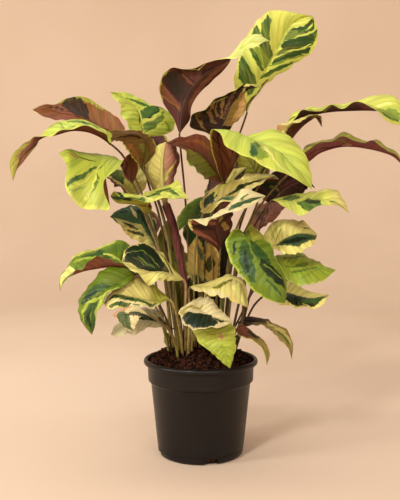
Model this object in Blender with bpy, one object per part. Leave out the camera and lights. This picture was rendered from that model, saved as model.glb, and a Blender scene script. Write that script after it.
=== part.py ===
"""A calathea in a round plastic nursery pot.

The pot stands on z = 0 with its axis on +Z. The camera side of the plant faces -Y and +X is its right.
Each leaf is one grown piece: a stalk that rises from its own hole in the potting mix, and a thin blade.
A leaf's points are drawn on an upright sheet through the pot's axis, ruled in squares of GRID, as seen
by an eye in front of the plant. Each point is (squares right of the axis, squares above the table,
steps of DEPTH_STEP towards the eye), so leaves that cover each other stand apart in depth. A root is
(squares right, squares towards the eye) of the axis.
"""
import bpy
import numpy as np

# Pot: a nursery pot with a turned-out collar and a thick rim, sizes in metres
POT_HEIGHT = 0.142
FOOT_RADIUS = 0.0585
RIM_RADIUS = 0.0845
FLOOR_THICKNESS = 0.003
STEP_HEIGHT = 0.105
POT_SIDES = 34
NOTCH_WIDTH = 0.018
NOTCH_REACH = (0.054, 0.072)
NOTCH_HEIGHT = 0.0065
NOTCH_TURN = 14.0
NOTCH_COUNT = 4
SHARP_ANGLE = 40.0

# The pot's outline as (radius, height): underside, faint ring low on the wall, collar and rolled rim
POT_FOOT = [(0.0, 0.0), (FOOT_RADIUS, 0.0), (0.0617, 0.0014), (0.0632, 0.0045)]
POT_RING = [(0.0641, 0.0098), (0.0638, 0.0104), (0.0642, 0.0110)]
POT_WALL = [(0.0737, STEP_HEIGHT), (0.0774, 0.1085), (0.0780, 0.1105), (0.0787, 0.129)]
POT_RIM = [(0.0812, 0.1294), (0.0840, 0.1320), (RIM_RADIUS, 0.136), (0.0834, 0.1405),
           (0.0812, POT_HEIGHT), (0.0793, 0.1414)]
# Inner wall as (height, radius), from the floor to the rim
INNER_WALL = [(0.004, 0.0615), (STEP_HEIGHT + 0.001, 0.0722), (0.112, 0.0766), (0.139, 0.0783)]
INNER_FLOOR_RADIUS = 0.0600

# Potting mix: a mounded plug with a hole for each stalk
MIX_EDGE_HEIGHT = 0.132
MIX_RISE = 0.018
MIX_EDGE_RADIUS = 0.0772
MIX_FOOT_RADIUS = 0.0590
MIX_LEVELS = [0.006, STEP_HEIGHT + 0.001, 0.1125, MIX_EDGE_HEIGHT]
MIX_RINGS = 5
MIX_LUMP = 0.0012
FIT_GAP = 0.0003
HOLE_SIDES = 6
HOLE_TOP = 0.173

# Leaves
GRID = 0.0015
DEPTH_STEP = 0.0022
BLADE_THICKNESS = 0.0008
BASE_THICKNESS = 0.0018
SECOND_THICKNESS = 0.001
BASE_CLEARANCE = 0.0015
TIP_CLEARANCE = 0.001
END_WIDTH = 0.0013
STALK_FOOT = 0.118
STALK_TOP = 0.153
STALK_SIDES = 5
STALK_RINGS = 4
STALK_JOIN = 0.005
ACROSS = 4
SPLINE_STEPS = 16
# The right margin's ripples lead the left one's, and narrow parts ripple less
RIPPLE_LEAD = 0.37
FULL_RIPPLE_WIDTH = 0.02

# The eye that the sheet is drawn from
EYE_ACROSS = -0.0011
EYE_DISTANCE = 1.042
EYE_HEIGHT = 0.365
EYE_PITCH = np.radians(3.46)
EYE = np.array([EYE_ACROSS, -EYE_DISTANCE, EYE_HEIGHT])
SHEET_UP = np.array([0.0, np.sin(EYE_PITCH), np.cos(EYE_PITCH)])
SHEET_SHIFT = 0.00035

# Finishes: colour, roughness
FINISHES = {
    "pot": ((0.035, 0.030, 0.028), 0.42),
    "potting_mix": ((0.045, 0.028, 0.020), 0.95),
    "yellow_green": ((0.42, 0.52, 0.06), 0.42),
    "green": ((0.10, 0.24, 0.035), 0.42),
    "cream_green": ((0.52, 0.52, 0.20), 0.42),
    "purple_back": ((0.16, 0.055, 0.040), 0.48),
}

LEAVES = []


def leaf(name, finish, root, rib, left, right, stalk=(), cup=0.12, wave=(2.0, 3, 0.0),
         thick=(2.1, 1.5), rows=10):
    """Notes one leaf. left and right are as seen on the upper face with the tip up.

    cup bows each half, wave is (height in mm, ripples, start), thick is the stalk's radius in mm
    at its foot and at the blade, and rows is how many strips the blade is made of.
    """
    LEAVES.append(dict(name=name, finish=finish, root=root, rib=rib, left=left, right=right,
                       stalk=stalk, cup=cup, wave=wave, thick=thick, rows=rows))


# Each leaf, from the top left of the plant to its foot, and then those at its back
leaf("copper_arch", "purple_back", root=(-23.5, 3),
     rib=[(-80, 312, -8), (-90, 320, -14), (-103, 324, -17), (-115, 331, -17), (-125, 335, -16),
          (-141, 338, -13), (-156, 342, -8), (-169, 341, -4)],
     left=[(-76, 322, -18), (-88, 337, -30), (-102, 346, -35), (-116, 353, -36), (-130, 354, -33),
           (-146, 347, -26), (-158, 346, -15)],
     right=[(-88, 316, -8), (-102, 321, -10), (-115, 327, -10), (-128, 331.5, -9), (-135, 332, -7),
            (-149, 331, -2), (-160, 336, 0)],
     stalk=[(-33, 215, -1), (-47, 262, -8), (-58, 281, -10), (-69, 298, -9)], wave=(2, 3, 0.1))
leaf("far_left_arch", "purple_back", root=(-29.5, -4),
     rib=[(-89, 306, 2), (-96, 312, 7), (-105, 317, 12), (-114, 320, 13), (-129, 321, 13),
          (-148, 316, 13), (-156, 315, 13), (-164, 310, 13), (-172, 302, 13), (-180, 292, 12),
          (-188, 270, 10)],
     left=[(-97, 319, 24), (-106, 323, 27), (-114, 325, 28), (-123, 324, 28), (-132, 321, 27),
           (-146, 316, 24), (-156, 316, 19), (-166, 314, 16), (-176, 308, 11), (-189, 296, 7),
           (-191, 286, 7)],
     right=[(-94, 320, 2), (-103, 325, -1), (-116, 330, -4), (-130, 331, -4), (-145, 330, 0),
            (-153, 322, 4), (-160, 312, 8), (-168, 301, 13), (-177, 289, 16), (-185, 281, 13)],
     stalk=[(-39, 190, -6), (-51, 236, -11), (-65, 271, -15), (-77, 294, -12)], rows=14)
leaf("upright_stripes", "yellow_green", root=(-20, -5),
     rib=[(-58, 315, -14), (-58, 322, -14), (-60, 332, -14), (-63, 341, -14), (-69, 348, -13),
          (-76, 352, -12), (-84, 356, -11), (-91, 359, -9)],
     left=[(-70, 320, -8), (-75, 329, -6), (-80, 338, -5), (-80, 345, -5), (-86, 351, -6)],
     right=[(-44, 315, -20), (-29, 320, -24), (-27, 331, -24), (-35, 342, -22), (-48, 345, -20),
            (-58, 351, -17), (-72, 358, -14)],
     stalk=[(-43, 240, -10), (-51, 262, -13), (-55, 278, -15), (-57, 292, -15)])
leaf("olive_fold", "purple_back", root=(-19, 9),
     rib=[(-58, 283, 6), (-56, 299, 10), (-57, 311, 14), (-64, 316, 18), (-77, 317, 22), (-94, 316, 26)],
     left=[(-50, 292, 5), (-45, 301, 7), (-48, 312, 10), (-62, 320, 14), (-80, 321, 20), (-92, 320, 25)],
     right=[(-66, 291, 15), (-75, 302, 19), (-79, 309, 22), (-85, 310, 26), (-91, 308, 28)],
     stalk=[(-36, 225, 5), (-46, 258, 2.5), (-53, 273, 4)], rows=9)
leaf("half_unfurled", "yellow_green", root=(-15.5, 6),
     rib=[(-35, 246, 6), (-38, 259, 7), (-39, 276, 8), (-38, 293, 8), (-35, 309, 6)],
     left=[(-31, 258, 2), (-25, 278, -4), (-22, 298, -4), (-27, 307, 1)],
     right=[(-43, 256, 3), (-50, 269, -3), (-55, 287, -9), (-50, 299, -8), (-42, 306, -1)],
     stalk=[(-15, 153, 6), (-20, 188, 6), (-28, 227, 6)], cup=-0.22, thick=(3, 6.4))
leaf("dark_twist", "purple_back", root=(-8, -2),
     rib=[(-21.5, 317, -8), (-21, 327, -8), (-19, 341, -8), (-15, 354, -8), (-9, 364, -8), (-1, 373, -7),
          (9, 381, -5), (20, 387, -3), (29, 392, 0), (39, 399, 3), (49, 409, 5), (57, 413, 7),
          (68, 410, 9)],
     left=[(-12, 331, -18), (-9, 346, -22), (0, 359, -24), (10, 369, -22), (20, 378, -19),
           (28, 388, -14), (31, 397, -9), (38, 405, -4), (47, 415, 1), (57, 417, 5)],
     right=[(-27, 331, -8), (-38, 349, -8), (-42, 364, -6), (-31, 383, -4), (-17, 382, -2), (-1, 384, 0),
            (14, 391, 2), (24, 392, 3), (38, 394, 5), (46, 402, 9), (55, 404, 11), (63, 409, 11)],
     stalk=[(-12, 190, -1), (-15, 243, -4), (-17, 268, -6), (-20, 298, -7)],
     wave=(1.5, 3, 0), rows=15)
leaf("striped_bronze", "purple_back", root=(-2.5, -17),
     rib=[(15, 311, -18), (18, 320, -18), (25, 335, -18), (32, 352, -18), (37, 360, -17), (44, 364, -16),
          (59, 364, -12)],
     left=[(27, 320, -25), (34, 328, -28), (40, 333, -28), (45, 343, -27), (44, 354, -25),
           (47, 361, -20)],
     right=[(6, 318, -12), (-10, 324, -8), (-9, 336, -6), (4, 342, -8), (13, 351, -10), (23, 355, -13),
            (33, 361, -14), (45, 367, -15)],
     stalk=[(-4, 150, -22), (0, 205, -24), (8, 265, -20)])
leaf("wavy_edge_on", "yellow_green", root=(-21, 15),
     rib=[(-56, 237, 14), (-54, 246, 18), (-48, 252, 22), (-38, 256, 26), (-25, 256, 30),
          (-12, 251, 34)],
     left=[(-49, 242, 10), (-52, 250, 6), (-60, 256, 4), (-42, 262, 8), (-25, 271, 12), (-18, 261, 24)],
     right=[(-66, 246, 14), (-83, 248, 14), (-91, 254, 19), (-87, 259, 24), (-76, 254, 31),
            (-59, 249, 37), (-47, 250, 38), (-37, 254, 38), (-28, 252, 38), (-19, 253, 37)],
     stalk=[(-38, 190, 14)], cup=0, rows=12)
leaf("purple_arch", "purple_back", root=(-1, 5),
     rib=[(21, 268, -4), (10, 285, 4), (-4, 299, 9), (-19, 306, 11), (-35, 308, 12)],
     left=[(24, 280, -7), (22, 291, -9), (18, 300, -9), (12, 310, -7), (4, 314, -6), (-8, 316, -3),
           (-21, 314, 4)],
     right=[(13, 270, 6), (2, 274, 17), (-7, 282, 22), (-13, 291, 20), (-17, 301, 15)],
     stalk=[(4, 200, 1), (12, 245, -5)])
leaf("top_right_crown", "yellow_green", root=(2.5, -11),
     rib=[(46, 338, -34), (49, 351, -34), (56, 371, -33), (64, 381, -32), (73, 396, -31), (81, 412, -30),
          (89, 425, -29), (103, 434, -27), (111, 435, -25)],
     left=[(41, 348, -28), (35, 361, -24), (33, 374, -22), (37, 390, -21), (42, 402, -21),
           (47, 418, -20), (57, 431, -20), (69, 440, -20), (84, 440, -22), (100, 437, -24)],
     right=[(51, 349, -38), (60, 361, -42), (72, 372, -42), (90, 384, -40), (103, 393, -38),
            (114, 403, -35), (117, 417, -32), (114, 431, -28)],
     stalk=[(6, 150, -21), (10, 200, -28), (24, 262, -32), (37, 312, -36)],
     wave=(1.5, 4, 0), rows=12)
leaf("centre_chartreuse", "yellow_green", root=(3.5, 2),
     rib=[(23, 267, 2), (25, 278, 7), (29, 290, 13), (33, 301, 19), (44, 311, 26), (54, 310, 31),
          (66, 306, 35), (79, 299, 39), (87, 291, 42), (96, 282, 45), (104, 273, 47), (111, 262, 48)],
     left=[(31, 279, -2), (37, 291, 0), (39, 304, 6), (49, 314, 16), (61, 318, 20), (75, 323, 24),
           (87, 316, 28), (99, 303, 34), (107, 290, 40), (111, 273, 46)],
     right=[(17, 279, 12), (12, 296, 22), (9, 311, 32), (11, 322, 36), (19, 319, 42), (25, 306, 46),
            (40, 295, 48), (54, 290, 50), (70, 282, 52), (84, 278, 53), (99, 269, 52)],
     stalk=[(8, 190, 2), (16, 235, 0)], rows=13)
leaf("right_high_arch", "purple_back", root=(22, -4),
     rib=[(83, 319, -8), (90, 330, -8), (99, 334, -7), (112, 337, -6), (130, 340, -4), (152, 341, -2),
          (170, 341, 0), (187, 339, 2), (200, 333, 4), (212, 317, 6)],
     left=[(92, 338, -14), (103, 342, -18), (109, 345, -20), (121, 342, -20), (129, 346, -20),
           (142, 345, -18), (152, 350, -16), (166, 354, -14), (178, 357, -12), (191, 354, -8),
           (203, 344, -2)],
     right=[(95, 334, -3), (102, 341, 5), (110, 340, 10), (121, 340, 12), (130, 345, 14), (140, 344, 14),
            (151, 349, 16), (162, 347, 18), (171, 342, 20), (179, 337, 20), (189, 329, 18),
            (201, 326, 14)],
     stalk=[(34, 205, -6), (48, 250, -7), (70, 296, -8)], rows=13)
leaf("right_low_arch", "purple_back", root=(25, 1),
     rib=[(102, 288, 8), (108, 291, 9), (117, 298, 9), (127, 302, 10), (140, 305, 10), (153, 305, 10),
          (166, 303, 10), (179, 300, 10), (192, 295, 9), (203, 285, 8)],
     left=[(104, 304, -4), (119, 311, -8), (130, 311, -10), (144, 318, -10), (156, 312, -10),
           (166, 309, -10), (174, 311, -8), (185, 303, -4), (196, 299, 2)],
     right=[(101, 296, 18), (109, 303, 24), (119, 307, 26), (130, 309, 26), (144, 316, 26),
            (154, 311, 26), (164, 307, 26), (172, 309, 24), (183, 303, 22), (194, 297, 16)],
     stalk=[(38, 200, 2), (56, 240, 4), (80, 270, 6)], rows=12)
leaf("small_brown_arch", "purple_back", root=(19, 3),
     rib=[(86, 308, 4), (91, 314, 4), (96, 320, 4), (102, 326, 5), (109, 331, 5), (116, 334, 6),
          (121, 324, 7)],
     left=[(79, 316, 0), (76, 325, 0), (84, 328, 1), (97, 332, 1), (111, 336, 2)],
     right=[(83, 320, 9), (87, 325, 11), (97, 330, 12), (107, 333, 12), (116, 337, 11), (121, 333, 8)],
     stalk=[(33, 215, 3), (56, 262, 8), (71, 287, 7)], rows=8)
leaf("right_patch", "yellow_green", root=(28.5, 5),
     rib=[(71, 251, 22), (83, 250, 25), (95, 250, 28), (111, 252, 31), (122, 252, 33), (132, 250, 34),
          (140, 246, 35), (148, 238, 36)],
     left=[(82, 254, 16), (94, 257, 14), (104, 257, 15), (116, 259, 18), (126, 263, 20), (135, 260, 24),
           (143, 251, 31)],
     right=[(80, 247, 32), (90, 239, 38), (98, 237, 42), (110, 241, 43), (124, 245, 43), (133, 247, 41),
            (141, 243, 38)],
     stalk=[(42, 165, 8), (56, 215, 14)], rows=9)
leaf("dark_underside", "purple_back", root=(18.5, -10),
     rib=[(68, 248, -6), (73, 254, -6), (81, 262, -6), (91, 268, -5), (102, 271, -4), (114, 263, -2)],
     left=[(82, 250, -14), (94, 255, -16), (103, 258, -14), (108, 265, -10), (113, 265, -5)],
     right=[(57, 255, 0), (51, 262, 2), (64, 272, 2), (75, 280, 2), (91, 278, 1), (107, 272, 0)],
     stalk=[(36, 180, -8), (52, 222, -7)], rows=8)
leaf("olive_back", "purple_back", root=(15, -9),
     rib=[(60, 262, -18), (58, 270, -18), (54, 280, -18), (48, 290, -18), (41, 299, -16)],
     left=[(66, 270, -24), (69, 280, -26), (62, 290, -25), (50, 297, -20)],
     right=[(50, 268, -14), (42, 276, -11), (37, 287, -11), (37, 294, -13)],
     stalk=[(30, 190, -12), (50, 232, -16)], rows=8)
leaf("cream_striped", "cream_green", root=(-5, 8),
     rib=[(2, 237, 18), (13, 248, 20), (27, 257, 22), (42, 265, 24), (57, 271, 25), (78, 272, 26)],
     left=[(-1, 248, 12), (8, 261, 8), (21, 266, 7), (34, 271, 8), (46, 277, 10), (61, 276, 14),
           (71, 277, 20)],
     right=[(11, 240, 26), (21, 248, 31), (36, 252, 34), (49, 260, 34), (59, 267, 32), (69, 273, 29)],
     stalk=[(-7, 165, 10), (-5, 205, 13)], rows=9)
leaf("small_striped", "cream_green", root=(0, -4),
     rib=[(21, 259, -8), (29, 268, -8), (37, 276, -8), (46, 284, -7)],
     left=[(25, 271, -12), (28, 280, -13), (38, 283, -11)],
     right=[(31, 267, -3), (38, 273, -2), (44, 280, -4)],
     stalk=[(6, 200, -8)], rows=6)
leaf("boat_leaf", "purple_back", root=(13, 9),
     rib=[(19, 200, 26), (17, 213, 32), (15, 225, 38), (21, 238, 42), (37, 248, 44), (51, 253, 45),
          (65, 255, 46)],
     left=[(24, 212, 22), (31, 226, 25), (32, 242, 31), (36, 256, 38), (43, 262, 41), (52, 260, 43),
           (60, 257, 44)],
     right=[(4, 211, 36), (-9, 220, 40), (-13, 232, 40), (4, 227, 50), (13, 231, 54), (28, 238, 56),
            (40, 242, 55), (51, 246, 53), (59, 250, 50)],
     stalk=[(16, 160, 12), (17.5, 182, 19)], rows=12)
leaf("green_drop", "green", root=(-11.5, -8),
     rib=[(5, 255, 3), (-2, 246, 8), (-11, 235, 13), (-22, 220, 15)],
     left=[(3, 244, 2), (-4, 235, 4), (-14, 227, 10)],
     right=[(-6, 252, 10), (-18, 242, 16), (-24, 231, 17)],
     stalk=[(-9, 180, -6), (1, 235, -8), (4.5, 252, -4)], rows=8)
leaf("hanging_heart", "green", root=(34, 5),
     rib=[(44, 216, 38), (50, 208, 42), (55, 197, 46), (62, 183, 49), (71, 170, 51), (81, 157, 52),
          (84, 148, 52)],
     left=[(50, 226, 30), (59, 220, 31), (66, 210, 34), (73, 199, 38), (79, 187, 41), (84, 174, 44),
           (86, 162, 47), (85, 153, 50)],
     right=[(38, 222, 36), (30, 220, 36), (25, 209, 38), (27, 197, 42), (32, 185, 45), (42, 173, 48),
            (50, 163, 50), (61, 154, 52), (74, 149, 53)],
     stalk=[(38, 112, 8), (41, 127, 9), (42, 140, 9), (44, 170, 11), (43, 204, 18), (43, 216, 27),
            (43.5, 219, 33)], rows=12)
leaf("right_cream_band", "cream_green", root=(30.5, -2),
     rib=[(69, 203, 8), (76, 208, 9), (86, 214, 10), (98, 218, 11), (116, 217, 12)],
     left=[(63, 211, 2), (65, 221, -2), (76, 230, -4), (91, 232, -4), (103, 229, 0), (111, 222, 8)],
     right=[(77, 201, 14), (83, 197, 19), (96, 198, 22), (108, 203, 22), (115, 211, 16)],
     stalk=[(40, 118, -6), (45, 140, -7), (56, 180, 0)], rows=9)
leaf("right_plain_green", "green", root=(28, -8),
     rib=[(71, 189, 4), (82, 188, 6), (96, 185, 8), (113, 183, 9), (135, 181, 10)],
     left=[(76, 196, -3), (89, 198, -7), (101, 198, -7), (112, 192, -3), (124, 185, 5)],
     right=[(80, 178, 10), (89, 169, 15), (102, 166, 18), (117, 168, 18), (128, 175, 14)],
     stalk=[(40, 130, -14), (54, 168, -5)], rows=8)
leaf("right_low_band", "cream_green", root=(28.5, -17),
     rib=[(71, 159, -6), (83, 159, -5), (96, 157, -4), (111, 154, -2), (128, 156, 0)],
     left=[(77, 166, -12), (89, 170, -15), (99, 166, -15), (109, 159, -11), (121, 157, -5)],
     right=[(76, 149, 0), (83, 145, 4), (96, 145, 7), (112, 142, 8), (122, 147, 5)],
     stalk=[(40, 120, -19), (55, 148, -12)], rows=9)
leaf("inner_cream_left", "cream_green", root=(-1, 12),
     rib=[(-2, 158, 7), (-3, 176, 7), (-3.5, 196, 6.5), (-4, 215, 6)],
     left=[(2.5, 169, 6), (3, 188, 5), (2, 206, 5)],
     right=[(-11, 170, 5), (-14, 188, 4), (-11, 206, 4)],
     rows=7)
leaf("inner_cream_right", "cream_green", root=(5, 9),
     rib=[(10, 160, 9), (11, 176, 9), (10.5, 194, 9), (8, 213, 9)],
     left=[(17, 170, 7), (19, 188, 6), (15, 205, 7)],
     right=[(4.5, 170, 11), (4, 188, 12), (5, 205, 11)],
     rows=7)
leaf("yellow_wave", "cream_green", root=(-8.5, 21),
     rib=[(-11, 164, 21), (4, 164.5, 25), (19, 168, 28), (31, 172, 31), (40, 168, 35), (47, 143, 40)],
     left=[(2, 167, 17), (12, 171, 17), (23, 174, 19), (36, 175, 24), (43, 169, 32), (46, 159, 37)],
     right=[(-7, 161, 27), (3, 158, 32), (11, 155, 37), (16, 157, 40), (20, 152, 42), (27, 153, 44),
            (33, 149, 44), (41, 146, 43)],
     stalk=[(-9, 130, 21)], thick=(2.5, 1.4))
leaf("dark_cream_front", "cream_green", root=(-12, 27),
     rib=[(-6, 151, 32), (-2, 143, 36), (7, 137, 40), (18, 133, 43), (33, 129, 45)],
     left=[(-1, 154, 27), (7, 155, 27), (15, 147, 32), (23, 138, 38), (29, 133, 42)],
     right=[(-14, 147, 36), (-22, 139, 40), (-17, 128, 46), (-6, 121, 50), (8, 123, 52), (23, 125, 50)],
     stalk=[(-12, 118, 27), (-11, 138, 26), (-8.5, 149, 28.5)], thick=(2.9, 1.5), rows=9)
leaf("front_chartreuse", "yellow_green", root=(8.5, 16),
     rib=[(11, 127, 34), (13, 120, 38), (17, 109, 41), (23, 97, 42), (29, 82.5, 41)],
     left=[(20, 130, 30), (29, 129, 32), (34, 120, 36), (35, 108, 38), (33, 95, 40)],
     right=[(3, 127, 34), (-8, 121, 36), (-5, 114, 38), (0, 106, 40), (8, 101, 42), (16, 93, 42)],
     stalk=[(10, 112, 17), (10, 127, 25), (10.5, 129, 30)], rows=9)
leaf("right_drip_high", "purple_back", root=(34, -1),
     rib=[(40, 130, 0), (49, 129, 2), (60, 128, 4), (71, 121, 6), (81, 114, 8), (88, 105, 9),
          (91, 92, 10)],
     left=[(44, 134, -2), (54, 134, -5), (65, 132, -5), (79, 125, -3), (87, 119, 2), (92, 107, 6)],
     right=[(44, 125, 6), (54, 126, 10), (63, 125, 12), (72, 118, 14), (80, 111, 14), (87, 103, 13)],
     stalk=[(38.5, 119, -1), (38, 127, -1)], wave=(1, 2, 0), rows=9)
leaf("right_drip_low", "purple_back", root=(29.5, 12),
     rib=[(35, 122, 16), (43, 121, 19), (51, 115, 22), (59, 109, 24), (65, 101, 25), (66, 86, 26)],
     left=[(40, 127, 12), (48, 122, 13), (56, 116, 16), (65, 107, 20), (69, 97, 23)],
     right=[(37, 116, 20), (42, 114, 25), (51, 110, 28), (60, 104, 29), (64, 95, 28)],
     stalk=[(33.5, 112, 13), (33.5, 119, 15)], wave=(1, 2, 0), rows=8)
leaf("tiny_behind", "yellow_green", root=(-21, -11),
     rib=[(-31, 119, -9), (-32.5, 113, -9), (-34, 104, -9)],
     left=[(-35, 117, -7), (-37, 110, -8)],
     right=[(-28, 116, -12), (-30, 109, -11)],
     stalk=[(-25, 117, -10), (-27, 122, -9.5), (-30, 122.5, -9)],
     wave=(0.6, 2, 0), thick=(1.3, 1), rows=5)
leaf("left_mid_arch", "green", root=(-31.5, 7),
     rib=[(-73, 183, 24), (-90, 185, 26), (-105, 183, 27), (-119, 180, 28), (-131, 175, 28),
          (-139, 170, 28), (-141, 160, 28)],
     left=[(-82, 188, 34), (-93, 193, 37), (-107, 192, 38), (-117, 186, 38), (-125, 179, 37),
           (-132, 173, 34), (-138, 168, 31)],
     right=[(-68, 197, 12), (-70, 205, 11), (-86, 210, 10), (-101, 205, 9), (-114, 200, 10),
            (-127, 194, 13), (-134, 185, 19), (-141, 173, 25)],
     stalk=[(-38, 125, 4), (-42, 145, 4), (-55, 172, 13)])
leaf("left_low_hang", "green", root=(-22.5, 23),
     rib=[(-64, 177, 32), (-77, 172, 38), (-90, 165, 42), (-101, 156, 44), (-108, 144, 45),
          (-110, 131, 45), (-109, 116, 44)],
     left=[(-71, 170, 41), (-81, 163, 45), (-93, 157, 48), (-99, 147, 49), (-104, 137, 48),
           (-106, 125, 46)],
     right=[(-73, 182, 32), (-89, 184, 31), (-104, 176, 34), (-116, 160, 38), (-123, 145, 40),
            (-121, 132, 42), (-115, 123, 43)],
     stalk=[(-34, 130, 22), (-46, 154, 20), (-57, 170, 23)])
leaf("left_dark_round", "cream_green", root=(-14, 17),
     rib=[(-17, 171, 26), (-27, 176, 30), (-38, 180, 34), (-51, 181, 38), (-65, 183, 41),
          (-79, 189, 42)],
     left=[(-25, 170, 32), (-34, 171, 38), (-44, 169, 43), (-53, 167, 46), (-62, 176, 47),
           (-71, 182, 46)],
     right=[(-29, 183, 22), (-36, 193, 22), (-44, 203, 23), (-55, 207, 26), (-67, 206, 30),
            (-76, 201, 35)],
     stalk=[(-15.5, 140, 20.5)], thick=(3, 1.6))
leaf("left_pale_stripe", "cream_green", root=(-17.5, 24),
     rib=[(-31, 151, 34), (-43, 150, 37), (-56, 152, 40), (-71, 155, 42), (-85, 156, 43),
          (-97, 148, 44)],
     left=[(-37, 149, 41), (-44, 146, 46), (-51, 141, 50), (-61, 145, 53), (-73, 143, 54),
           (-86, 142, 53), (-94, 143, 49)],
     right=[(-37, 158, 30), (-45, 164, 30), (-54, 170, 31), (-64, 174, 33), (-75, 171, 35),
            (-86, 162, 37), (-93, 156, 40)],
     stalk=[(-22, 125, 27)], thick=(2.6, 1.5))
leaf("left_curl", "cream_green", root=(-22, 29),
     rib=[(-52, 136, 58), (-62, 140, 60), (-71, 138, 62), (-75, 130, 63), (-70, 119, 64)],
     left=[(-60, 134, 64), (-64, 129, 66), (-66, 123, 66)],
     right=[(-66, 146, 58), (-79, 142, 60), (-87, 137, 60), (-82, 129, 62), (-76, 123, 63)],
     stalk=[(-30, 118, 36), (-40, 128, 50)], rows=8)
leaf("left_pale_low", "cream_green", root=(-28, 12),
     rib=[(-30, 123, 16), (-41, 128, 18), (-53, 131, 20), (-66, 129, 22), (-79, 124, 24),
          (-90, 116, 25)],
     left=[(-39, 124, 22), (-51, 123, 27), (-61, 119, 30), (-73, 116, 31), (-84, 114, 29)],
     right=[(-37, 133, 12), (-46, 140, 9), (-55, 144, 8), (-65, 141, 10), (-77, 132, 15),
            (-87, 124, 21)],
     stalk=[(-31, 112, 14)], rows=9)
leaf("left_dark_cream", "cream_green", root=(-24.5, -19),
     rib=[(-45, 204, -8), (-52, 215, -7), (-61, 224, -6), (-73, 230, -4), (-91, 234, 0)],
     left=[(-51, 205, -2), (-62, 208, 2), (-73, 216, 4), (-82, 226, 4), (-88, 232, 2)],
     right=[(-44, 215, -13), (-46, 229, -17), (-53, 239, -18), (-65, 245, -16), (-76, 244, -12),
            (-85, 240, -6)],
     stalk=[(-30.5, 150, -10), (-37, 182, -12.5)])
leaf("left_chartreuse_flap", "yellow_green", root=(-27, 2),
     rib=[(-68, 267, 2), (-76, 278, 2), (-80, 288, 4), (-90, 292, 8), (-105, 292, 11), (-121, 294, 12),
          (-133, 301, 12), (-142, 298, 12)],
     left=[(-63, 281, 3), (-65, 292, 7), (-71, 297, 13), (-83, 283, 26), (-97, 270, 32), (-97, 257, 33),
           (-91, 243, 32), (-106, 242, 31), (-124, 246, 30), (-134, 259, 28), (-136, 271, 25),
           (-134, 284, 19)],
     right=[(-76, 274, -8), (-84, 288, -12), (-98, 294, -12), (-115, 296, -8), (-129, 301, 2)],
     stalk=[(-40, 190, 3), (-56, 240, 2)], rows=13)
leaf("left_back_green", "green", root=(-33, -15),
     rib=[(-67, 252, -34), (-74, 261, -34), (-81, 269, -34), (-89, 275, -33), (-97, 277, -32)],
     left=[(-74, 257, -28), (-84, 265, -26), (-93, 272, -28)],
     right=[(-55, 264, -40), (-55, 280, -43), (-64, 289, -43), (-79, 286, -41), (-92, 281, -36)],
     stalk=[(-42, 150, -22), (-56, 222, -30)], rows=8)
leaf("back_high_left", "purple_back", root=(-12, -24),
     rib=[(-38, 262, -58), (-43, 280, -64), (-48, 300, -72), (-52, 317, -84), (-56, 325, -98)],
     left=[(-29, 280, -66), (-29, 298, -76), (-36, 316, -88)],
     right=[(-50, 268, -62), (-60, 285, -72), (-66, 304, -84), (-64, 318, -94)],
     stalk=[(-16, 160, -36), (-27, 220, -50)], rows=8)
leaf("back_high_right", "purple_back", root=(10.5, -24),
     rib=[(34, 258, -56), (40, 272, -62), (46, 286, -72), (52, 298, -84), (56, 303, -98)],
     left=[(50, 262, -62), (62, 276, -72), (68, 290, -84), (64, 300, -94)],
     right=[(28, 268, -60), (27, 284, -70), (36, 299, -84)],
     stalk=[(16, 160, -36), (26, 220, -48)], rows=8)
leaf("back_centre", "green", root=(0, -28),
     rib=[(12, 226, -52), (16, 244, -60), (20, 262, -72), (23, 278, -88), (25, 284, -102)],
     left=[(26, 238, -58), (35, 256, -70), (34, 274, -86)],
     right=[(5, 238, -58), (3, 252, -70), (9, 271, -88)],
     stalk=[(2, 150, -38), (6, 190, -46)], rows=8)
leaf("back_mid_left", "green", root=(-19, -27),
     rib=[(-46, 214, -60), (-52, 224, -68), (-60, 230, -80), (-68, 231, -94), (-73, 225, -104)],
     left=[(-40, 228, -66), (-48, 240, -78), (-60, 243, -92), (-70, 236, -102)],
     right=[(-56, 212, -60), (-66, 216, -68), (-74, 220, -82), (-77, 221, -94)],
     stalk=[(-26, 140, -40), (-36, 184, -52)], rows=8)
leaf("back_purple_right", "purple_back", root=(19, -26),
     rib=[(50, 221, -36), (60, 232, -38), (71, 242, -41), (81, 248, -45), (90, 251, -50)],
     left=[(50, 234, -44), (58, 246, -50), (70, 252, -54), (82, 253, -54)],
     right=[(61, 223, -32), (73, 231, -34), (83, 242, -40)],
     stalk=[(27, 140, -32), (38, 186, -36)], rows=8)
leaf("back_low_centre", "green", root=(-5, -36),
     rib=[(-12, 180, -62), (-14, 192, -72), (-16, 198, -86), (-16, 194, -100), (-14, 184, -110)],
     left=[(0, 190, -64), (6, 202, -78), (4, 204, -94), (-4, 192, -106)],
     right=[(-26, 188, -64), (-34, 200, -78), (-36, 202, -94), (-26, 192, -106)],
     stalk=[(-8, 130, -44), (-10, 156, -52)], rows=8)
leaf("back_low_left", "green", root=(-26, -29),
     rib=[(-50, 150, -52), (-62, 160, -60), (-74, 164, -70), (-84, 160, -82), (-90, 148, -92)],
     left=[(-50, 164, -60), (-60, 176, -70), (-76, 178, -82), (-88, 164, -92)],
     right=[(-64, 148, -50), (-80, 150, -56), (-92, 150, -68), (-94, 146, -82)],
     stalk=[(-34, 124, -38)], rows=8)
leaf("back_low_right", "green", root=(26, -28),
     rib=[(54, 162, -50), (66, 170, -58), (80, 174, -68), (92, 170, -80), (98, 160, -90)],
     left=[(66, 157, -46), (82, 160, -52), (96, 162, -66), (100, 159, -80)],
     right=[(54, 176, -58), (64, 187, -68), (80, 189, -80), (94, 176, -90)],
     stalk=[(36, 128, -38)], rows=8)
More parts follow.
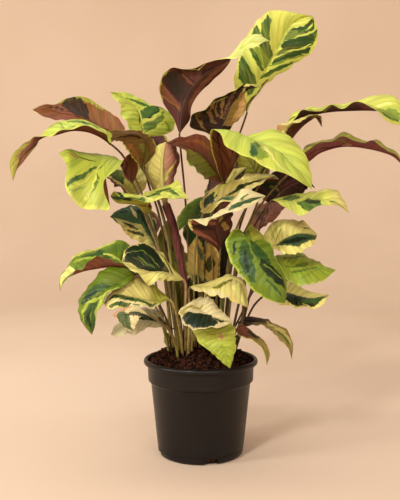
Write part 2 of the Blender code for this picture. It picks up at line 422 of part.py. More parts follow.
leaf("dark_behind_boat", "green", root=(-8, -18),
     rib=[(-6, 196, -26), (-4, 206, -28), (0, 218, -31), (4, 232, -36), (6, 242, -44)],
     left=[(4, 202, -28), (14, 214, -32), (16, 230, -40)],
     right=[(-12, 204, -26), (-18, 218, -30), (-10, 234, -40)],
     stalk=[(-10, 150, -28), (-9, 176, -28)], rows=8)
leaf("inner_low_centre", "green", root=(-5, -12),
     rib=[(-6, 128, -10.5), (-7, 145, -11), (-8, 163, -11.5), (-9, 180, -11)],
     left=[(1, 140, -10), (2, 156, -10), (-3, 172, -10)],
     right=[(-14, 138, -10), (-17, 154, -10), (-14, 170, -10)],
     rows=6)
leaf("inner_low_right", "green", root=(6, -14),
     rib=[(9, 128, -11.5), (12, 150, -13), (17, 180, -14), (22, 205, -15), (26, 225, -17)],
     left=[(17, 138, -12), (24, 160, -13.5), (30, 185, -15.5), (33, 210, -17)],
     right=[(4.5, 140, -11), (5, 165, -12), (9, 190, -13.5), (16, 213, -16)],
     rows=8)
leaf("inner_low_left", "green", root=(-17.5, -13),
     rib=[(-20, 128, -12.5), (-23, 150, -14), (-27, 180, -16), (-30, 208, -19), (-33, 232, -23)],
     left=[(-15, 142, -12), (-13, 168, -13), (-16, 198, -16), (-24, 222, -20)],
     right=[(-26, 140, -13), (-35, 165, -15), (-42, 192, -18), (-42, 218, -21)],
     rows=8)


def unit(v):
    return v / np.maximum(np.linalg.norm(v, axis=-1, keepdims=True), 1e-9)


def place(point):
    """A point of the drawing sheet, pushed towards the eye."""
    right, up, out = point
    on_sheet = np.array([right * GRID + SHEET_SHIFT, 0.0, 0.0]) + up * GRID * SHEET_UP
    ray = on_sheet - EYE
    return EYE + ray * ((EYE_DISTANCE - out * DEPTH_STEP) / ray[1])


def spline(points):
    """A smooth line through the points (centripetal Catmull-Rom), SPLINE_STEPS to a stretch."""
    points = np.asarray(points, float)
    ends = np.vstack([2 * points[0] - points[1], points, 2 * points[-1] - points[-2]])
    runs = []
    for i in range(1, len(ends) - 2):
        p0, p1, p2, p3 = ends[i - 1:i + 3]
        t0 = 0.0
        t1 = t0 + np.linalg.norm(p1 - p0) ** 0.5
        t2 = t1 + np.linalg.norm(p2 - p1) ** 0.5
        t3 = t2 + np.linalg.norm(p3 - p2) ** 0.5
        t = np.linspace(t1, t2, SPLINE_STEPS, endpoint=False)[:, None]
        a1 = (t1 - t) / (t1 - t0) * p0 + (t - t0) / (t1 - t0) * p1
        a2 = (t2 - t) / (t2 - t1) * p1 + (t - t1) / (t2 - t1) * p2
        a3 = (t3 - t) / (t3 - t2) * p2 + (t - t2) / (t3 - t2) * p3
        b1 = (t2 - t) / (t2 - t0) * a1 + (t - t0) / (t2 - t0) * a2
        b2 = (t3 - t) / (t3 - t1) * a2 + (t - t1) / (t3 - t1) * a3
        runs.append((t2 - t) / (t2 - t1) * b1 + (t - t1) / (t2 - t1) * b2)
    runs.append(points[-1:])
    return np.vstack(runs)


def lengths(line):
    return np.r_[0, np.cumsum(np.linalg.norm(np.diff(line, axis=0), axis=1))]


def points_at(line, where):
    """Points of a line at the given lengths along it."""
    along = lengths(line)
    return np.stack([np.interp(where, along, line[:, k]) for k in range(3)], 1)


def evenly(line, count):
    return points_at(line, np.linspace(0, lengths(line)[-1], count))


def spine(spec):
    """One smooth line from the foot of the stalk to the tip, and where the blade starts on it."""
    right, out = spec["root"]
    foot = [np.array([right * GRID, -out * GRID, z]) for z in (STALK_FOOT, STALK_TOP)]
    via = [place(p) for p in spec["stalk"]]
    line = spline(foot + via + [place(p) for p in spec["rib"]])
    return line, SPLINE_STEPS * (2 + len(via))


def blade_grid(spec):
    """The blade's upper face as a grid: row 0 at the stalk, the middle column on the rib."""
    line, start = spine(spec)
    rows = spec["rows"]
    rib = evenly(line[start:], rows + 1)
    left, right = [evenly(spline([rib[0]] + [place(p) for p in spec[side]] + [rib[-1]]), rows + 1)
                   for side in ("left", "right")]
    along = unit(np.gradient(rib, axis=0))
    along[0] = unit(line[start + 3] - line[start - 3])
    across = right - left
    across[0] = across[1]
    across[-1] = across[-2]
    side = unit(np.cross(along, unit(np.cross(across, along))))
    for i in (0, rows):
        left[i] = rib[i] - side[i] * END_WIDTH
        right[i] = rib[i] + side[i] * END_WIDTH
    along[-1] = unit(line[-1] - line[-4])
    keep_between_ends(left, rib, along)
    keep_between_ends(right, rib, along)
    return rib, left, right, along, line, start


def keep_between_ends(rail, rib, along):
    """The first and last strips don't run back past the base or on past the tip."""
    behind = (rail[1] - rib[0]) @ along[0]
    rail[1] += along[0] * max(0.0, BASE_CLEARANCE - behind)
    beyond = (rail[-2] - rib[-1]) @ along[-1]
    rail[-2] -= along[-1] * max(0.0, beyond + TIP_CLEARANCE)


def upper_face(spec):
    """The grid of the upper face, bowed between rib and margin, with a wave along the margins."""
    rib, left, right, along, line, start = blade_grid(spec)
    height, ripples, phase = spec["wave"]
    s = np.linspace(0, 1, len(rib))
    opening = (1 - (unit(left - rib) * unit(right - rib)).sum(1, keepdims=True)) / 2
    grid = np.zeros((len(rib), ACROSS + 1, 3))
    for j, v in enumerate(np.linspace(-1, 1, ACROSS + 1)):
        half = (left if v < 0 else right) - rib
        size = np.linalg.norm(half, axis=1)[:, None]
        normal = unit(np.cross(half, along) * (1 if v > 0 else -1))
        bow = spec["cup"] * 4 * abs(v) * (1 - abs(v)) * size
        if spec["cup"] > 0:
            bow = bow * opening
        turn = ripples * s + phase + (RIPPLE_LEAD if v > 0 else 0.0)
        ripple = (height * 0.001 * np.sin(2 * np.pi * turn) * np.sin(np.pi * s))[:, None]
        ripple = ripple * v * v * np.minimum(size / FULL_RIPPLE_WIDTH, 1)
        grid[:, j] = rib + half * abs(v) + normal * (bow + ripple)
    return grid, line, start


def mean_slope(grid, axis):
    step = unit(np.diff(grid, axis=axis))
    first, last = np.take(step, [0], axis), np.take(step, [-1], axis)
    return np.concatenate([first, step], axis) + np.concatenate([step, last], axis)


def under_face(grid, line, start):
    """The lower face: the upper one moved down its own normals."""
    normals = unit(np.cross(mean_slope(grid, 1), mean_slope(grid, 0)))
    base_run = unit(line[start + 3] - line[start - 3])
    tip_run = unit(line[-1] - line[-4])
    normals[0] = unit(np.cross(grid[0, -1] - grid[0, 0], base_run))
    normals[-1] = unit(np.cross(grid[-1, -1] - grid[-1, 0], tip_run))
    thickness = np.full((len(grid), 1, 1), BLADE_THICKNESS)
    thickness[0] = BASE_THICKNESS
    thickness[1] = SECOND_THICKNESS
    return grid - normals * thickness


def blade_mesh(grid, under):
    """Rings of points round each row, and triangles that split both faces alike."""
    count = 2 * (ACROSS + 1)
    points = []
    for top, bottom in zip(grid, under):
        points += list(top) + list(bottom[::-1])
    triangles = []
    for i in range(len(grid) - 1):
        a, b = i * count, (i + 1) * count
        for j in range(ACROSS):
            k = count - 1 - j
            triangles += [(a + j, a + j + 1, b + j + 1), (a + j, b + j + 1, b + j)]
            triangles += [(a + k, b + k - 1, a + k - 1), (a + k, b + k, b + k - 1)]
        for j, k in ((ACROSS, ACROSS + 1), (count - 1, 0)):
            triangles += [(a + j, a + k, b + k), (a + j, b + k, b + j)]
    end = (len(grid) - 1) * count
    for j in range(ACROSS):
        k = count - 1 - j
        triangles += [(end + j, end + j + 1, end + k - 1), (end + j, end + k - 1, end + k)]
    return points, triangles


def stalk_rings(spec, line, start, side):
    """Rings of the stalk from just under the blade down to its foot."""
    run = line[SPLINE_STEPS:start + 1]
    total = lengths(run)[-1]
    where = np.linspace(0, total - STALK_JOIN, STALK_RINGS + 1)
    centres = np.vstack([line[0], points_at(run, where), run[-1]])
    steps = unit(np.diff(centres, axis=0))
    foot_radius, top_radius = np.array(spec["thick"]) * 0.001
    rings = []
    for i in range(len(centres) - 2, -1, -1):
        up = unit(steps[i - 1] + steps[i]) if i > 1 else np.array([0.0, 0.0, 1.0])
        side = unit(side - up * (side @ up))
        other = np.cross(up, side)
        share = max(i - 1, 0) / (len(centres) - 2)
        radius = foot_radius + (top_radius - foot_radius) * share
        angles = np.pi + 2 * np.pi * np.arange(STALK_SIDES) / STALK_SIDES
        rings.append([centres[i] + (side * np.cos(a) + other * np.sin(a)) * radius for a in angles])
    return rings


def leaf_mesh(spec):
    """One closed skin of triangles round the blade and its stalk."""
    grid, line, start = upper_face(spec)
    points, triangles = blade_mesh(grid, under_face(grid, line, start))
    rings = stalk_rings(spec, line, start, unit(grid[0, -1] - grid[0, 0]))
    around = 2 * (ACROSS + 1)
    sides = range(STALK_SIDES)

    def misfit(turn):
        direction, first = turn
        return sum(np.linalg.norm(rings[0][(first + direction * k) % STALK_SIDES] - points[2 * k])
                   for k in sides)

    direction, first = min(((d, r) for d in (1, -1) for r in sides), key=misfit)
    number = {}
    for level, ring in enumerate(rings):
        for k in sides:
            number[level, k] = len(points)
            points.append(ring[(first + direction * k) % STALK_SIDES])
    for k in sides:
        after = (k + 1) % STALK_SIDES
        before, here, beyond = (2 * k - 1) % around, 2 * k, (2 * k + 1) % around
        triangles += [(number[0, k], here, before), (number[0, k], beyond, here),
                      (number[0, k], number[0, after], beyond)]
    last = len(rings) - 1
    for level in range(last):
        for k in sides:
            after = (k + 1) % STALK_SIDES
            triangles += [(number[level + 1, k], number[level + 1, after], number[level, after]),
                          (number[level + 1, k], number[level, after], number[level, k])]
    for k in range(1, STALK_SIDES - 1):
        triangles.append((number[last, 0], number[last, k + 1], number[last, k]))
    return outward(np.array(points), triangles)


def outward(points, triangles):
    """Turns the triangles over if they face inwards."""
    a, b, c = (points[[t[k] for t in triangles]] for k in range(3))
    if (a * np.cross(b, c)).sum() < 0:
        triangles = [t[::-1] for t in triangles]
    return points, triangles


def turned(profile, sides, lump=0.0, seed=1):
    """A solid turned round +Z from (radius, height) points, from the bottom pole to the top pole."""
    rng = np.random.default_rng(seed)
    points, faces, rows = [], [], []
    for radius, height in profile:
        if radius == 0:
            rows.append([len(points)] * sides)
            points.append((0.0, 0.0, height))
            continue
        rows.append(list(range(len(points), len(points) + sides)))
        for k in range(sides):
            angle = 2 * np.pi * k / sides
            rise = rng.uniform(-lump, lump) if height > MIX_EDGE_HEIGHT else 0.0
            points.append((radius * np.cos(angle), radius * np.sin(angle), height + rise))
    for low, high in zip(rows[:-1], rows[1:]):
        for k in range(sides):
            corners = [low[k], low[(k + 1) % sides], high[(k + 1) % sides], high[k]]
            faces.append(tuple(dict.fromkeys(corners)))
    return np.array(points), faces


def add_object(name, points, faces, finish, smooth=True):
    mesh = bpy.data.meshes.new(name)
    mesh.from_pydata([tuple(p) for p in points], [], [tuple(int(i) for i in f) for f in faces])
    mesh.materials.append(material(finish))
    if smooth:
        mesh.shade_smooth()
        mesh.set_sharp_from_angle(angle=np.radians(SHARP_ANGLE))
    thing = bpy.data.objects.new(name, mesh)
    bpy.context.scene.collection.objects.link(thing)
    return thing


def material(finish):
    if finish in bpy.data.materials:
        return bpy.data.materials[finish]
    colour, roughness = FINISHES[finish]
    made = bpy.data.materials.new(finish)
    made.use_nodes = True
    shader = made.node_tree.nodes["Principled BSDF"]
    shader.inputs["Base Color"].default_value = (*colour, 1.0)
    shader.inputs["Roughness"].default_value = roughness
    shader.inputs["Metallic"].default_value = 0.0
    return made


def cut(thing, name, points, faces):
    """Takes a closed shape, or several that lie apart, out of a solid."""
    cutter = add_object(name, points, faces, "pot", smooth=False)
    cutter.hide_render = True
    cutter.display_type = "WIRE"
    modifier = thing.modifiers.new(name, "BOOLEAN")
    modifier.operation = "DIFFERENCE"
    modifier.solver = "EXACT"
    modifier.object = cutter


def prisms(centres, radii, low, high, sides):
    """Upright prisms that lie apart, as one mesh."""
    points, faces = [], []
    for (x, y), radius in zip(centres, radii):
        first = len(points)
        for z in (low, high):
            for k in range(sides):
                angle = 2 * np.pi * k / sides
                points.append((x + radius * np.cos(angle), y + radius * np.sin(angle), z))
        bottom = [first + k for k in range(sides)]
        top = [first + sides + k for k in range(sides)]
        faces += [tuple(bottom[::-1]), tuple(top)]
        faces += [(bottom[k], bottom[(k + 1) % sides], top[(k + 1) % sides], top[k])
                  for k in range(sides)]
    return points, faces


def inner_radius(height):
    """The radius of the pot's inner wall at a height."""
    heights, radii = zip(*INNER_WALL)
    return float(np.interp(height, heights, radii))


def make_pot():
    inside = [(radius, height) for height, radius in reversed(INNER_WALL)]
    floor = [(INNER_FLOOR_RADIUS, FLOOR_THICKNESS), (0.0, FLOOR_THICKNESS)]
    outline = POT_FOOT + POT_RING + POT_WALL + POT_RIM + inside + floor
    points, faces = turned(outline, POT_SIDES)
    pot = add_object("pot", points, faces, "pot")
    notches, notch_faces = [], []
    for k in range(NOTCH_COUNT):
        turn = np.radians(NOTCH_TURN - 90 + 360 * k / NOTCH_COUNT)
        outwards = np.array([np.cos(turn), np.sin(turn), 0.0])
        sideways = np.array([-np.sin(turn), np.cos(turn), 0.0])
        first = len(notches)
        for z in (-0.004, NOTCH_HEIGHT):
            for end, side in ((0, -1), (1, -1), (1, 1), (0, 1)):
                spot = outwards * NOTCH_REACH[end] + sideways * side * NOTCH_WIDTH / 2
                notches.append(spot + np.array([0.0, 0.0, z]))
        box = [(0, 3, 2, 1), (4, 5, 6, 7), (0, 1, 5, 4), (1, 2, 6, 5), (2, 3, 7, 6), (3, 0, 4, 7)]
        notch_faces += [tuple(first + i for i in face) for face in box]
    cut(pot, "notch_cutter", notches, notch_faces)


def make_mix():
    floor = FLOOR_THICKNESS + FIT_GAP
    side = [(MIX_FOOT_RADIUS, floor)]
    side += [(inner_radius(height) - FIT_GAP * 1.2, height) for height in MIX_LEVELS]
    top = []
    for ring in range(1, MIX_RINGS + 1):
        radius = MIX_EDGE_RADIUS * (1 - ring / MIX_RINGS)
        rise = MIX_RISE * (1 - (radius / MIX_EDGE_RADIUS) ** 2)
        top.append((radius if ring < MIX_RINGS else 0.0, MIX_EDGE_HEIGHT + rise))
    points, faces = turned([(0.0, floor)] + side + top, POT_SIDES, lump=MIX_LUMP)
    mix = add_object("potting_mix", points, faces, "potting_mix", smooth=False)
    centres = [(spec["root"][0] * GRID, -spec["root"][1] * GRID) for spec in LEAVES]
    radii = [(spec["thick"][0] * 0.001 + FIT_GAP) / np.cos(np.pi / HOLE_SIDES) for spec in LEAVES]
    holes, hole_faces = prisms(centres, radii, STALK_FOOT - FIT_GAP, HOLE_TOP, HOLE_SIDES)
    cut(mix, "stalk_hole_cutter", holes, hole_faces)


def main():
    for thing in list(bpy.data.objects):
        bpy.data.objects.remove(thing, do_unlink=True)
    make_pot()
    make_mix()
    for spec in LEAVES:
        points, triangles = leaf_mesh(spec)
        add_object(spec["name"], points, triangles, spec["finish"])


main()
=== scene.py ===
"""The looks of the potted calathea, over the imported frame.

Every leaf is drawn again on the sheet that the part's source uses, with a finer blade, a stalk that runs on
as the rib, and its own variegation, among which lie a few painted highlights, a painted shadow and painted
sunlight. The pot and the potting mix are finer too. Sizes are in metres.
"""
import bpy
import numpy as np
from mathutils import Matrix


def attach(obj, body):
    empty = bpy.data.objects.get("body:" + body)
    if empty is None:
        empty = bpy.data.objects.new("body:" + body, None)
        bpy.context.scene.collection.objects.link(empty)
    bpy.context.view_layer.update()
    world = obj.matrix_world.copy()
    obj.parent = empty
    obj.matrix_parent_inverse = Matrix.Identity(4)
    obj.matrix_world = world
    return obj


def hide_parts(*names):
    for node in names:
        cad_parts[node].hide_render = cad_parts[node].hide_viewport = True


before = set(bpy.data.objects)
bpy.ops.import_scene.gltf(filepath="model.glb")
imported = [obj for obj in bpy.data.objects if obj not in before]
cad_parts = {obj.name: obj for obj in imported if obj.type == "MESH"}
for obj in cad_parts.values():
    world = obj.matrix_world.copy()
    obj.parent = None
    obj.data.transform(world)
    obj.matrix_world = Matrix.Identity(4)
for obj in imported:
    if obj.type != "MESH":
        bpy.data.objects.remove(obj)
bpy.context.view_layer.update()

# The drawing sheet and the eye that it is drawn from, as in the part's source
GRID = 0.0015
DEPTH_STEP = 0.0022
EYE_ACROSS = -0.0011
EYE_DISTANCE = 1.042
EYE_HEIGHT = 0.365
EYE_PITCH = np.radians(3.46)
EYE = np.array([EYE_ACROSS, -EYE_DISTANCE, EYE_HEIGHT])
SHEET_UP = np.array([0.0, np.sin(EYE_PITCH), np.cos(EYE_PITCH)])
SHEET_SHIFT = 0.00035
LENS = 50.98
SENSOR_HEIGHT = 36.0

MILLIMETRE = 0.001
TINY = 1e-9

# The mesh of a leaf
BLADE_ROWS = 84
BLADE_ACROSS = 22
STALK_RINGS = 26
STALK_SIDES = 8
SPLINE_STEPS = 16
LEAF_SHARP = 50.0

# The form of a leaf
BLADE_THICKNESS = 0.0005
MARGIN_THINNING = 0.6
STALK_FOOT = 0.119
STALK_TOP = 0.153
RIPPLE_LEAD = 0.37
FULL_RIPPLE_WIDTH = 0.02
SIDE_VEINS = 13
VEIN_SLANT = 2.6
VEIN_CURVE = 0.8
VEIN_DEPTH = 0.0008
VEIN_SPREAD = 0.7
MARGIN_NICK = 0.0012
MARGIN_RIPPLE = 0.0020
NICK_TURNS = (3, 13)
RIPPLE_TURNS = (3, 9)
UNEVEN_WAVES = 5
UNEVEN_SHARE = 3

# The rib, as a share of the stalk's radius at the blade, and how deep it lies under the blade
RIB_START = 0.02
RIB_SIZE = 0.62
RIB_TAPER = 0.8
RIB_TIP_RADIUS = 0.00015
RIB_DROP = 0.95
RIB_GAP = 0.0003

# Marks on the blades: how their squares are looked up, and their outlines
FINER = 4
NEAR_ENOUGH = 0.0005
PRESSED_WIDTH = 1.15
MOVE_SCALE = 110.0
MOVE_REACH = 0.005
SOFT_OUTLINE = 0.0005
STROKE_FRAY = 0.4
MOST_FRAY = 1.2
CORNER_ROUND = 0.0018
AREA_SPREAD = 0.0008
AREA_FRAY = 0.0016
WASH_FRAY = 0.5
BAND_END = 0.02
BAND_SCALE = 60.0
BAND_SWAY = 0.5
BAND_OUTLINE = (-0.02, 0.05)
EDGE_FRAY = 0.2
EDGE_SOFT = 0.04
RIB_CORE = 0.6

# Streaks along the side veins: how many to a vein, how many from rib to margin, and a shift of the noise
FRAY_STREAKS = (4.5, 2.5, 0.0)
GRAIN_STREAKS = (3.4, 2.0, 5.0)
SHADE_STREAKS = (1.4, 0.7, 7.0)
HUE_STREAKS = (0.8, 0.9, 3.0)
LEAST_GRAIN = 0.80
SHADES = (0.80, 1.08)
HUES = (0.492, 0.510)

LEAVES = []


def leaf(name, finish, root, rib, left, right, stalk=(), cup=0.12, wave=(2.0, 3, 0.0), thick=(2.1, 1.5)):
    """Notes one leaf, with the same points as in the part's source.

    The root is where the stalk stands, in squares to the right and towards the eye. The points of the rib,
    the margins and the stalk are squares to the right, squares up and depth steps towards the eye. The cup
    bows each half of the blade by a share of its width. The wave gives the ripples of the margin: their
    height in millimetres, their number and where they start. Thick holds the stalk's radius in
    millimetres, at its foot and at the blade.
    """
    LEAVES.append(dict(name=name, finish=finish, root=root, rib=rib, left=left, right=right,
                       stalk=stalk, cup=cup, wave=wave, thick=thick))


# Each leaf, from the top left of the plant to its foot, and then those at its back
leaf("copper_arch", "purple_back", root=(-23.5, 3),
     rib=[(-80, 312, -8), (-90, 320, -14), (-103, 324, -17), (-115, 331, -17), (-125, 335, -16),
          (-141, 338, -13), (-156, 342, -8), (-169, 341, -4)],
     left=[(-76, 322, -18), (-88, 337, -30), (-102, 346, -35), (-116, 353, -36), (-130, 354, -33),
           (-146, 347, -26), (-158, 346, -15)],
     right=[(-88, 316, -8), (-102, 321, -10), (-115, 327, -10), (-128, 331.5, -9), (-135, 332, -7),
            (-149, 331, -2), (-160, 336, 0)],
     stalk=[(-33, 215, -1), (-47, 262, -8), (-58, 281, -10), (-69, 298, -9)], wave=(2, 3, 0.1))
leaf("far_left_arch", "purple_back", root=(-29.5, -4),
     rib=[(-89, 306, 2), (-96, 312, 7), (-105, 317, 12), (-114, 320, 13), (-129, 321, 13),
          (-148, 316, 13), (-156, 315, 13), (-164, 310, 13), (-172, 302, 13), (-180, 292, 12),
          (-188, 270, 10)],
     left=[(-97, 319, 24), (-106, 323, 27), (-114, 325, 28), (-123, 324, 28), (-132, 321, 27),
           (-146, 316, 24), (-156, 316, 19), (-166, 314, 16), (-176, 308, 11), (-189, 296, 7),
           (-191, 286, 7)],
     right=[(-94, 320, 2), (-103, 325, -1), (-116, 330, -4), (-130, 331, -4), (-145, 330, 0),
            (-153, 322, 4), (-160, 312, 8), (-168, 301, 13), (-177, 289, 16), (-185, 281, 13)],
     stalk=[(-39, 190, -6), (-51, 236, -11), (-65, 271, -15), (-77, 294, -12)])
leaf("upright_stripes", "yellow_green", root=(-20, -5),
     rib=[(-58, 315, -14), (-58, 322, -14), (-60, 332, -14), (-63, 341, -14), (-69, 348, -13),
          (-76, 352, -12), (-84, 356, -11), (-91, 359, -9)],
     left=[(-70, 320, -8), (-75, 329, -6), (-80, 338, -5), (-80, 345, -5), (-86, 351, -6)],
     right=[(-44, 315, -20), (-29, 320, -24), (-27, 331, -24), (-35, 342, -22), (-48, 345, -20),
            (-58, 351, -17), (-72, 358, -14)],
     stalk=[(-43, 240, -10), (-51, 262, -13), (-55, 278, -15), (-57, 292, -15)])
leaf("olive_fold", "purple_back", root=(-19, 9),
     rib=[(-58, 283, 6), (-56, 299, 10), (-57, 311, 14), (-64, 316, 18), (-77, 317, 22), (-94, 316, 26)],
     left=[(-50, 292, 5), (-45, 301, 7), (-48, 312, 10), (-62, 320, 14), (-80, 321, 20), (-92, 320, 25)],
     right=[(-66, 291, 15), (-75, 302, 19), (-79, 309, 22), (-85, 310, 26), (-91, 308, 28)],
     stalk=[(-36, 225, 5), (-46, 258, 2.5), (-53, 273, 4)])
leaf("half_unfurled", "yellow_green", root=(-15.5, 6),
     rib=[(-35, 246, 6), (-38, 259, 7), (-39, 276, 8), (-38, 293, 8), (-35, 309, 6)],
     left=[(-31, 258, 2), (-25, 278, -4), (-22, 298, -4), (-27, 307, 1)],
     right=[(-43, 256, 3), (-50, 269, -3), (-55, 287, -9), (-50, 299, -8), (-42, 306, -1)],
     stalk=[(-15, 153, 6), (-20, 188, 6), (-28, 227, 6)], cup=-0.22, thick=(3, 6.4))
leaf("dark_twist", "purple_back", root=(-8, -2),
     rib=[(-21.5, 317, -8), (-21, 327, -8), (-19, 341, -8), (-15, 354, -8), (-9, 364, -8), (-1, 373, -7),
          (9, 381, -5), (20, 387, -3), (29, 392, 0), (39, 399, 3), (49, 409, 5), (57, 413, 7),
          (68, 410, 9)],
     left=[(-12, 331, -18), (-9, 346, -22), (0, 359, -24), (10, 369, -22), (20, 378, -19),
           (28, 388, -14), (31, 397, -9), (38, 405, -4), (47, 415, 1), (57, 417, 5)],
     right=[(-27, 331, -8), (-38, 349, -8), (-42, 364, -6), (-31, 383, -4), (-17, 382, -2), (-1, 384, 0),
            (14, 391, 2), (24, 392, 3), (38, 394, 5), (46, 402, 9), (55, 404, 11), (63, 409, 11)],
     stalk=[(-12, 190, -1), (-15, 243, -4), (-17, 268, -6), (-20, 298, -7)],
     wave=(1.5, 3, 0))
leaf("striped_bronze", "purple_back", root=(-2.5, -17),
     rib=[(15, 311, -18), (18, 320, -18), (25, 335, -18), (32, 352, -18), (37, 360, -17), (44, 364, -16),
          (59, 364, -12)],
     left=[(27, 320, -25), (34, 328, -28), (40, 333, -28), (45, 343, -27), (44, 354, -25),
           (47, 361, -20)],
     right=[(6, 318, -12), (-10, 324, -8), (-9, 336, -6), (4, 342, -8), (13, 351, -10), (23, 355, -13),
            (33, 361, -14), (45, 367, -15)],
     stalk=[(-4, 150, -22), (0, 205, -24), (8, 265, -20)])
leaf("wavy_edge_on", "yellow_green", root=(-21, 15),
     rib=[(-56, 237, 14), (-54, 246, 18), (-48, 252, 22), (-38, 256, 26), (-25, 256, 30),
          (-12, 251, 34)],
     left=[(-49, 242, 10), (-52, 250, 6), (-60, 256, 4), (-42, 262, 8), (-25, 271, 12), (-18, 261, 24)],
     right=[(-66, 246, 14), (-83, 248, 14), (-91, 254, 19), (-87, 259, 24), (-76, 254, 31),
            (-59, 249, 37), (-47, 250, 38), (-37, 254, 38), (-28, 252, 38), (-19, 253, 37)],
     stalk=[(-38, 190, 14)], cup=0)
leaf("purple_arch", "purple_back", root=(-1, 5),
     rib=[(21, 268, -4), (10, 285, 4), (-4, 299, 9), (-19, 306, 11), (-35, 308, 12)],
     left=[(24, 280, -7), (22, 291, -9), (18, 300, -9), (12, 310, -7), (4, 314, -6), (-8, 316, -3),
           (-21, 314, 4)],
     right=[(13, 270, 6), (2, 274, 17), (-7, 282, 22), (-13, 291, 20), (-17, 301, 15)],
     stalk=[(4, 200, 1), (12, 245, -5)])
leaf("top_right_crown", "yellow_green", root=(2.5, -11),
     rib=[(46, 338, -34), (49, 351, -34), (56, 371, -33), (64, 381, -32), (73, 396, -31), (81, 412, -30),
          (89, 425, -29), (103, 434, -27), (111, 435, -25)],
     left=[(41, 348, -28), (35, 361, -24), (33, 374, -22), (37, 390, -21), (42, 402, -21),
           (47, 418, -20), (57, 431, -20), (69, 440, -20), (84, 440, -22), (100, 437, -24)],
     right=[(51, 349, -38), (60, 361, -42), (72, 372, -42), (90, 384, -40), (103, 393, -38),
            (114, 403, -35), (117, 417, -32), (114, 431, -28)],
     stalk=[(6, 150, -21), (10, 200, -28), (24, 262, -32), (37, 312, -36)],
     wave=(1.5, 4, 0))
leaf("centre_chartreuse", "yellow_green", root=(3.5, 2),
     rib=[(23, 267, 2), (25, 278, 7), (29, 290, 13), (33, 301, 19), (44, 311, 26), (54, 310, 31),
          (66, 306, 35), (79, 299, 39), (87, 291, 42), (96, 282, 45), (104, 273, 47), (111, 262, 48)],
     left=[(31, 279, -2), (37, 291, 0), (39, 304, 6), (49, 314, 16), (61, 318, 20), (75, 323, 24),
           (87, 316, 28), (99, 303, 34), (107, 290, 40), (111, 273, 46)],
     right=[(17, 279, 12), (12, 296, 22), (9, 311, 32), (11, 322, 36), (19, 319, 42), (25, 306, 46),
            (40, 295, 48), (54, 290, 50), (70, 282, 52), (84, 278, 53), (99, 269, 52)],
     stalk=[(8, 190, 2), (16, 235, 0)])
leaf("right_high_arch", "purple_back", root=(22, -4),
     rib=[(83, 319, -8), (90, 330, -8), (99, 334, -7), (112, 337, -6), (130, 340, -4), (152, 341, -2),
          (170, 341, 0), (187, 339, 2), (200, 333, 4), (212, 317, 6)],
     left=[(92, 338, -14), (103, 342, -18), (109, 345, -20), (121, 342, -20), (129, 346, -20),
           (142, 345, -18), (152, 350, -16), (166, 354, -14), (178, 357, -12), (191, 354, -8),
           (203, 344, -2)],
     right=[(95, 334, -3), (102, 341, 5), (110, 340, 10), (121, 340, 12), (130, 345, 14), (140, 344, 14),
            (151, 349, 16), (162, 347, 18), (171, 342, 20), (179, 337, 20), (189, 329, 18),
            (201, 326, 14)],
     stalk=[(34, 205, -6), (48, 250, -7), (70, 296, -8)])
leaf("right_low_arch", "purple_back", root=(25, 1),
     rib=[(102, 288, 8), (108, 291, 9), (117, 298, 9), (127, 302, 10), (140, 305, 10), (153, 305, 10),
          (166, 303, 10), (179, 300, 10), (192, 295, 9), (203, 285, 8)],
     left=[(104, 304, -4), (119, 311, -8), (130, 311, -10), (144, 318, -10), (156, 312, -10),
           (166, 309, -10), (174, 311, -8), (185, 303, -4), (196, 299, 2)],
     right=[(101, 296, 18), (109, 303, 24), (119, 307, 26), (130, 309, 26), (144, 316, 26),
            (154, 311, 26), (164, 307, 26), (172, 309, 24), (183, 303, 22), (194, 297, 16)],
     stalk=[(38, 200, 2), (56, 240, 4), (80, 270, 6)])
leaf("small_brown_arch", "purple_back", root=(19, 3),
     rib=[(86, 308, 4), (91, 314, 4), (96, 320, 4), (102, 326, 5), (109, 331, 5), (116, 334, 6),
          (121, 324, 7)],
     left=[(79, 316, 0), (76, 325, 0), (84, 328, 1), (97, 332, 1), (111, 336, 2)],
     right=[(83, 320, 9), (87, 325, 11), (97, 330, 12), (107, 333, 12), (116, 337, 11), (121, 333, 8)],
     stalk=[(33, 215, 3), (56, 262, 8), (71, 287, 7)])
leaf("right_patch", "yellow_green", root=(28.5, 5),
     rib=[(71, 251, 22), (83, 250, 25), (95, 250, 28), (111, 252, 31), (122, 252, 33), (132, 250, 34),
          (140, 246, 35), (148, 238, 36)],
     left=[(82, 254, 16), (94, 257, 14), (104, 257, 15), (116, 259, 18), (126, 263, 20), (135, 260, 24),
           (143, 251, 31)],
     right=[(80, 247, 32), (90, 239, 38), (98, 237, 42), (110, 241, 43), (124, 245, 43), (133, 247, 41),
            (141, 243, 38)],
     stalk=[(42, 165, 8), (56, 215, 14)])
leaf("dark_underside", "purple_back", root=(18.5, -10),
     rib=[(68, 248, -6), (73, 254, -6), (81, 262, -6), (91, 268, -5), (102, 271, -4), (114, 263, -2)],
     left=[(82, 250, -14), (94, 255, -16), (103, 258, -14), (108, 265, -10), (113, 265, -5)],
     right=[(57, 255, 0), (51, 262, 2), (64, 272, 2), (75, 280, 2), (91, 278, 1), (107, 272, 0)],
     stalk=[(36, 180, -8), (52, 222, -7)])
leaf("olive_back", "purple_back", root=(15, -9),
     rib=[(60, 262, -18), (58, 270, -18), (54, 280, -18), (48, 290, -18), (41, 299, -16)],
     left=[(66, 270, -24), (69, 280, -26), (62, 290, -25), (50, 297, -20)],
     right=[(50, 268, -14), (42, 276, -11), (37, 287, -11), (37, 294, -13)],
     stalk=[(30, 190, -12), (50, 232, -16)])
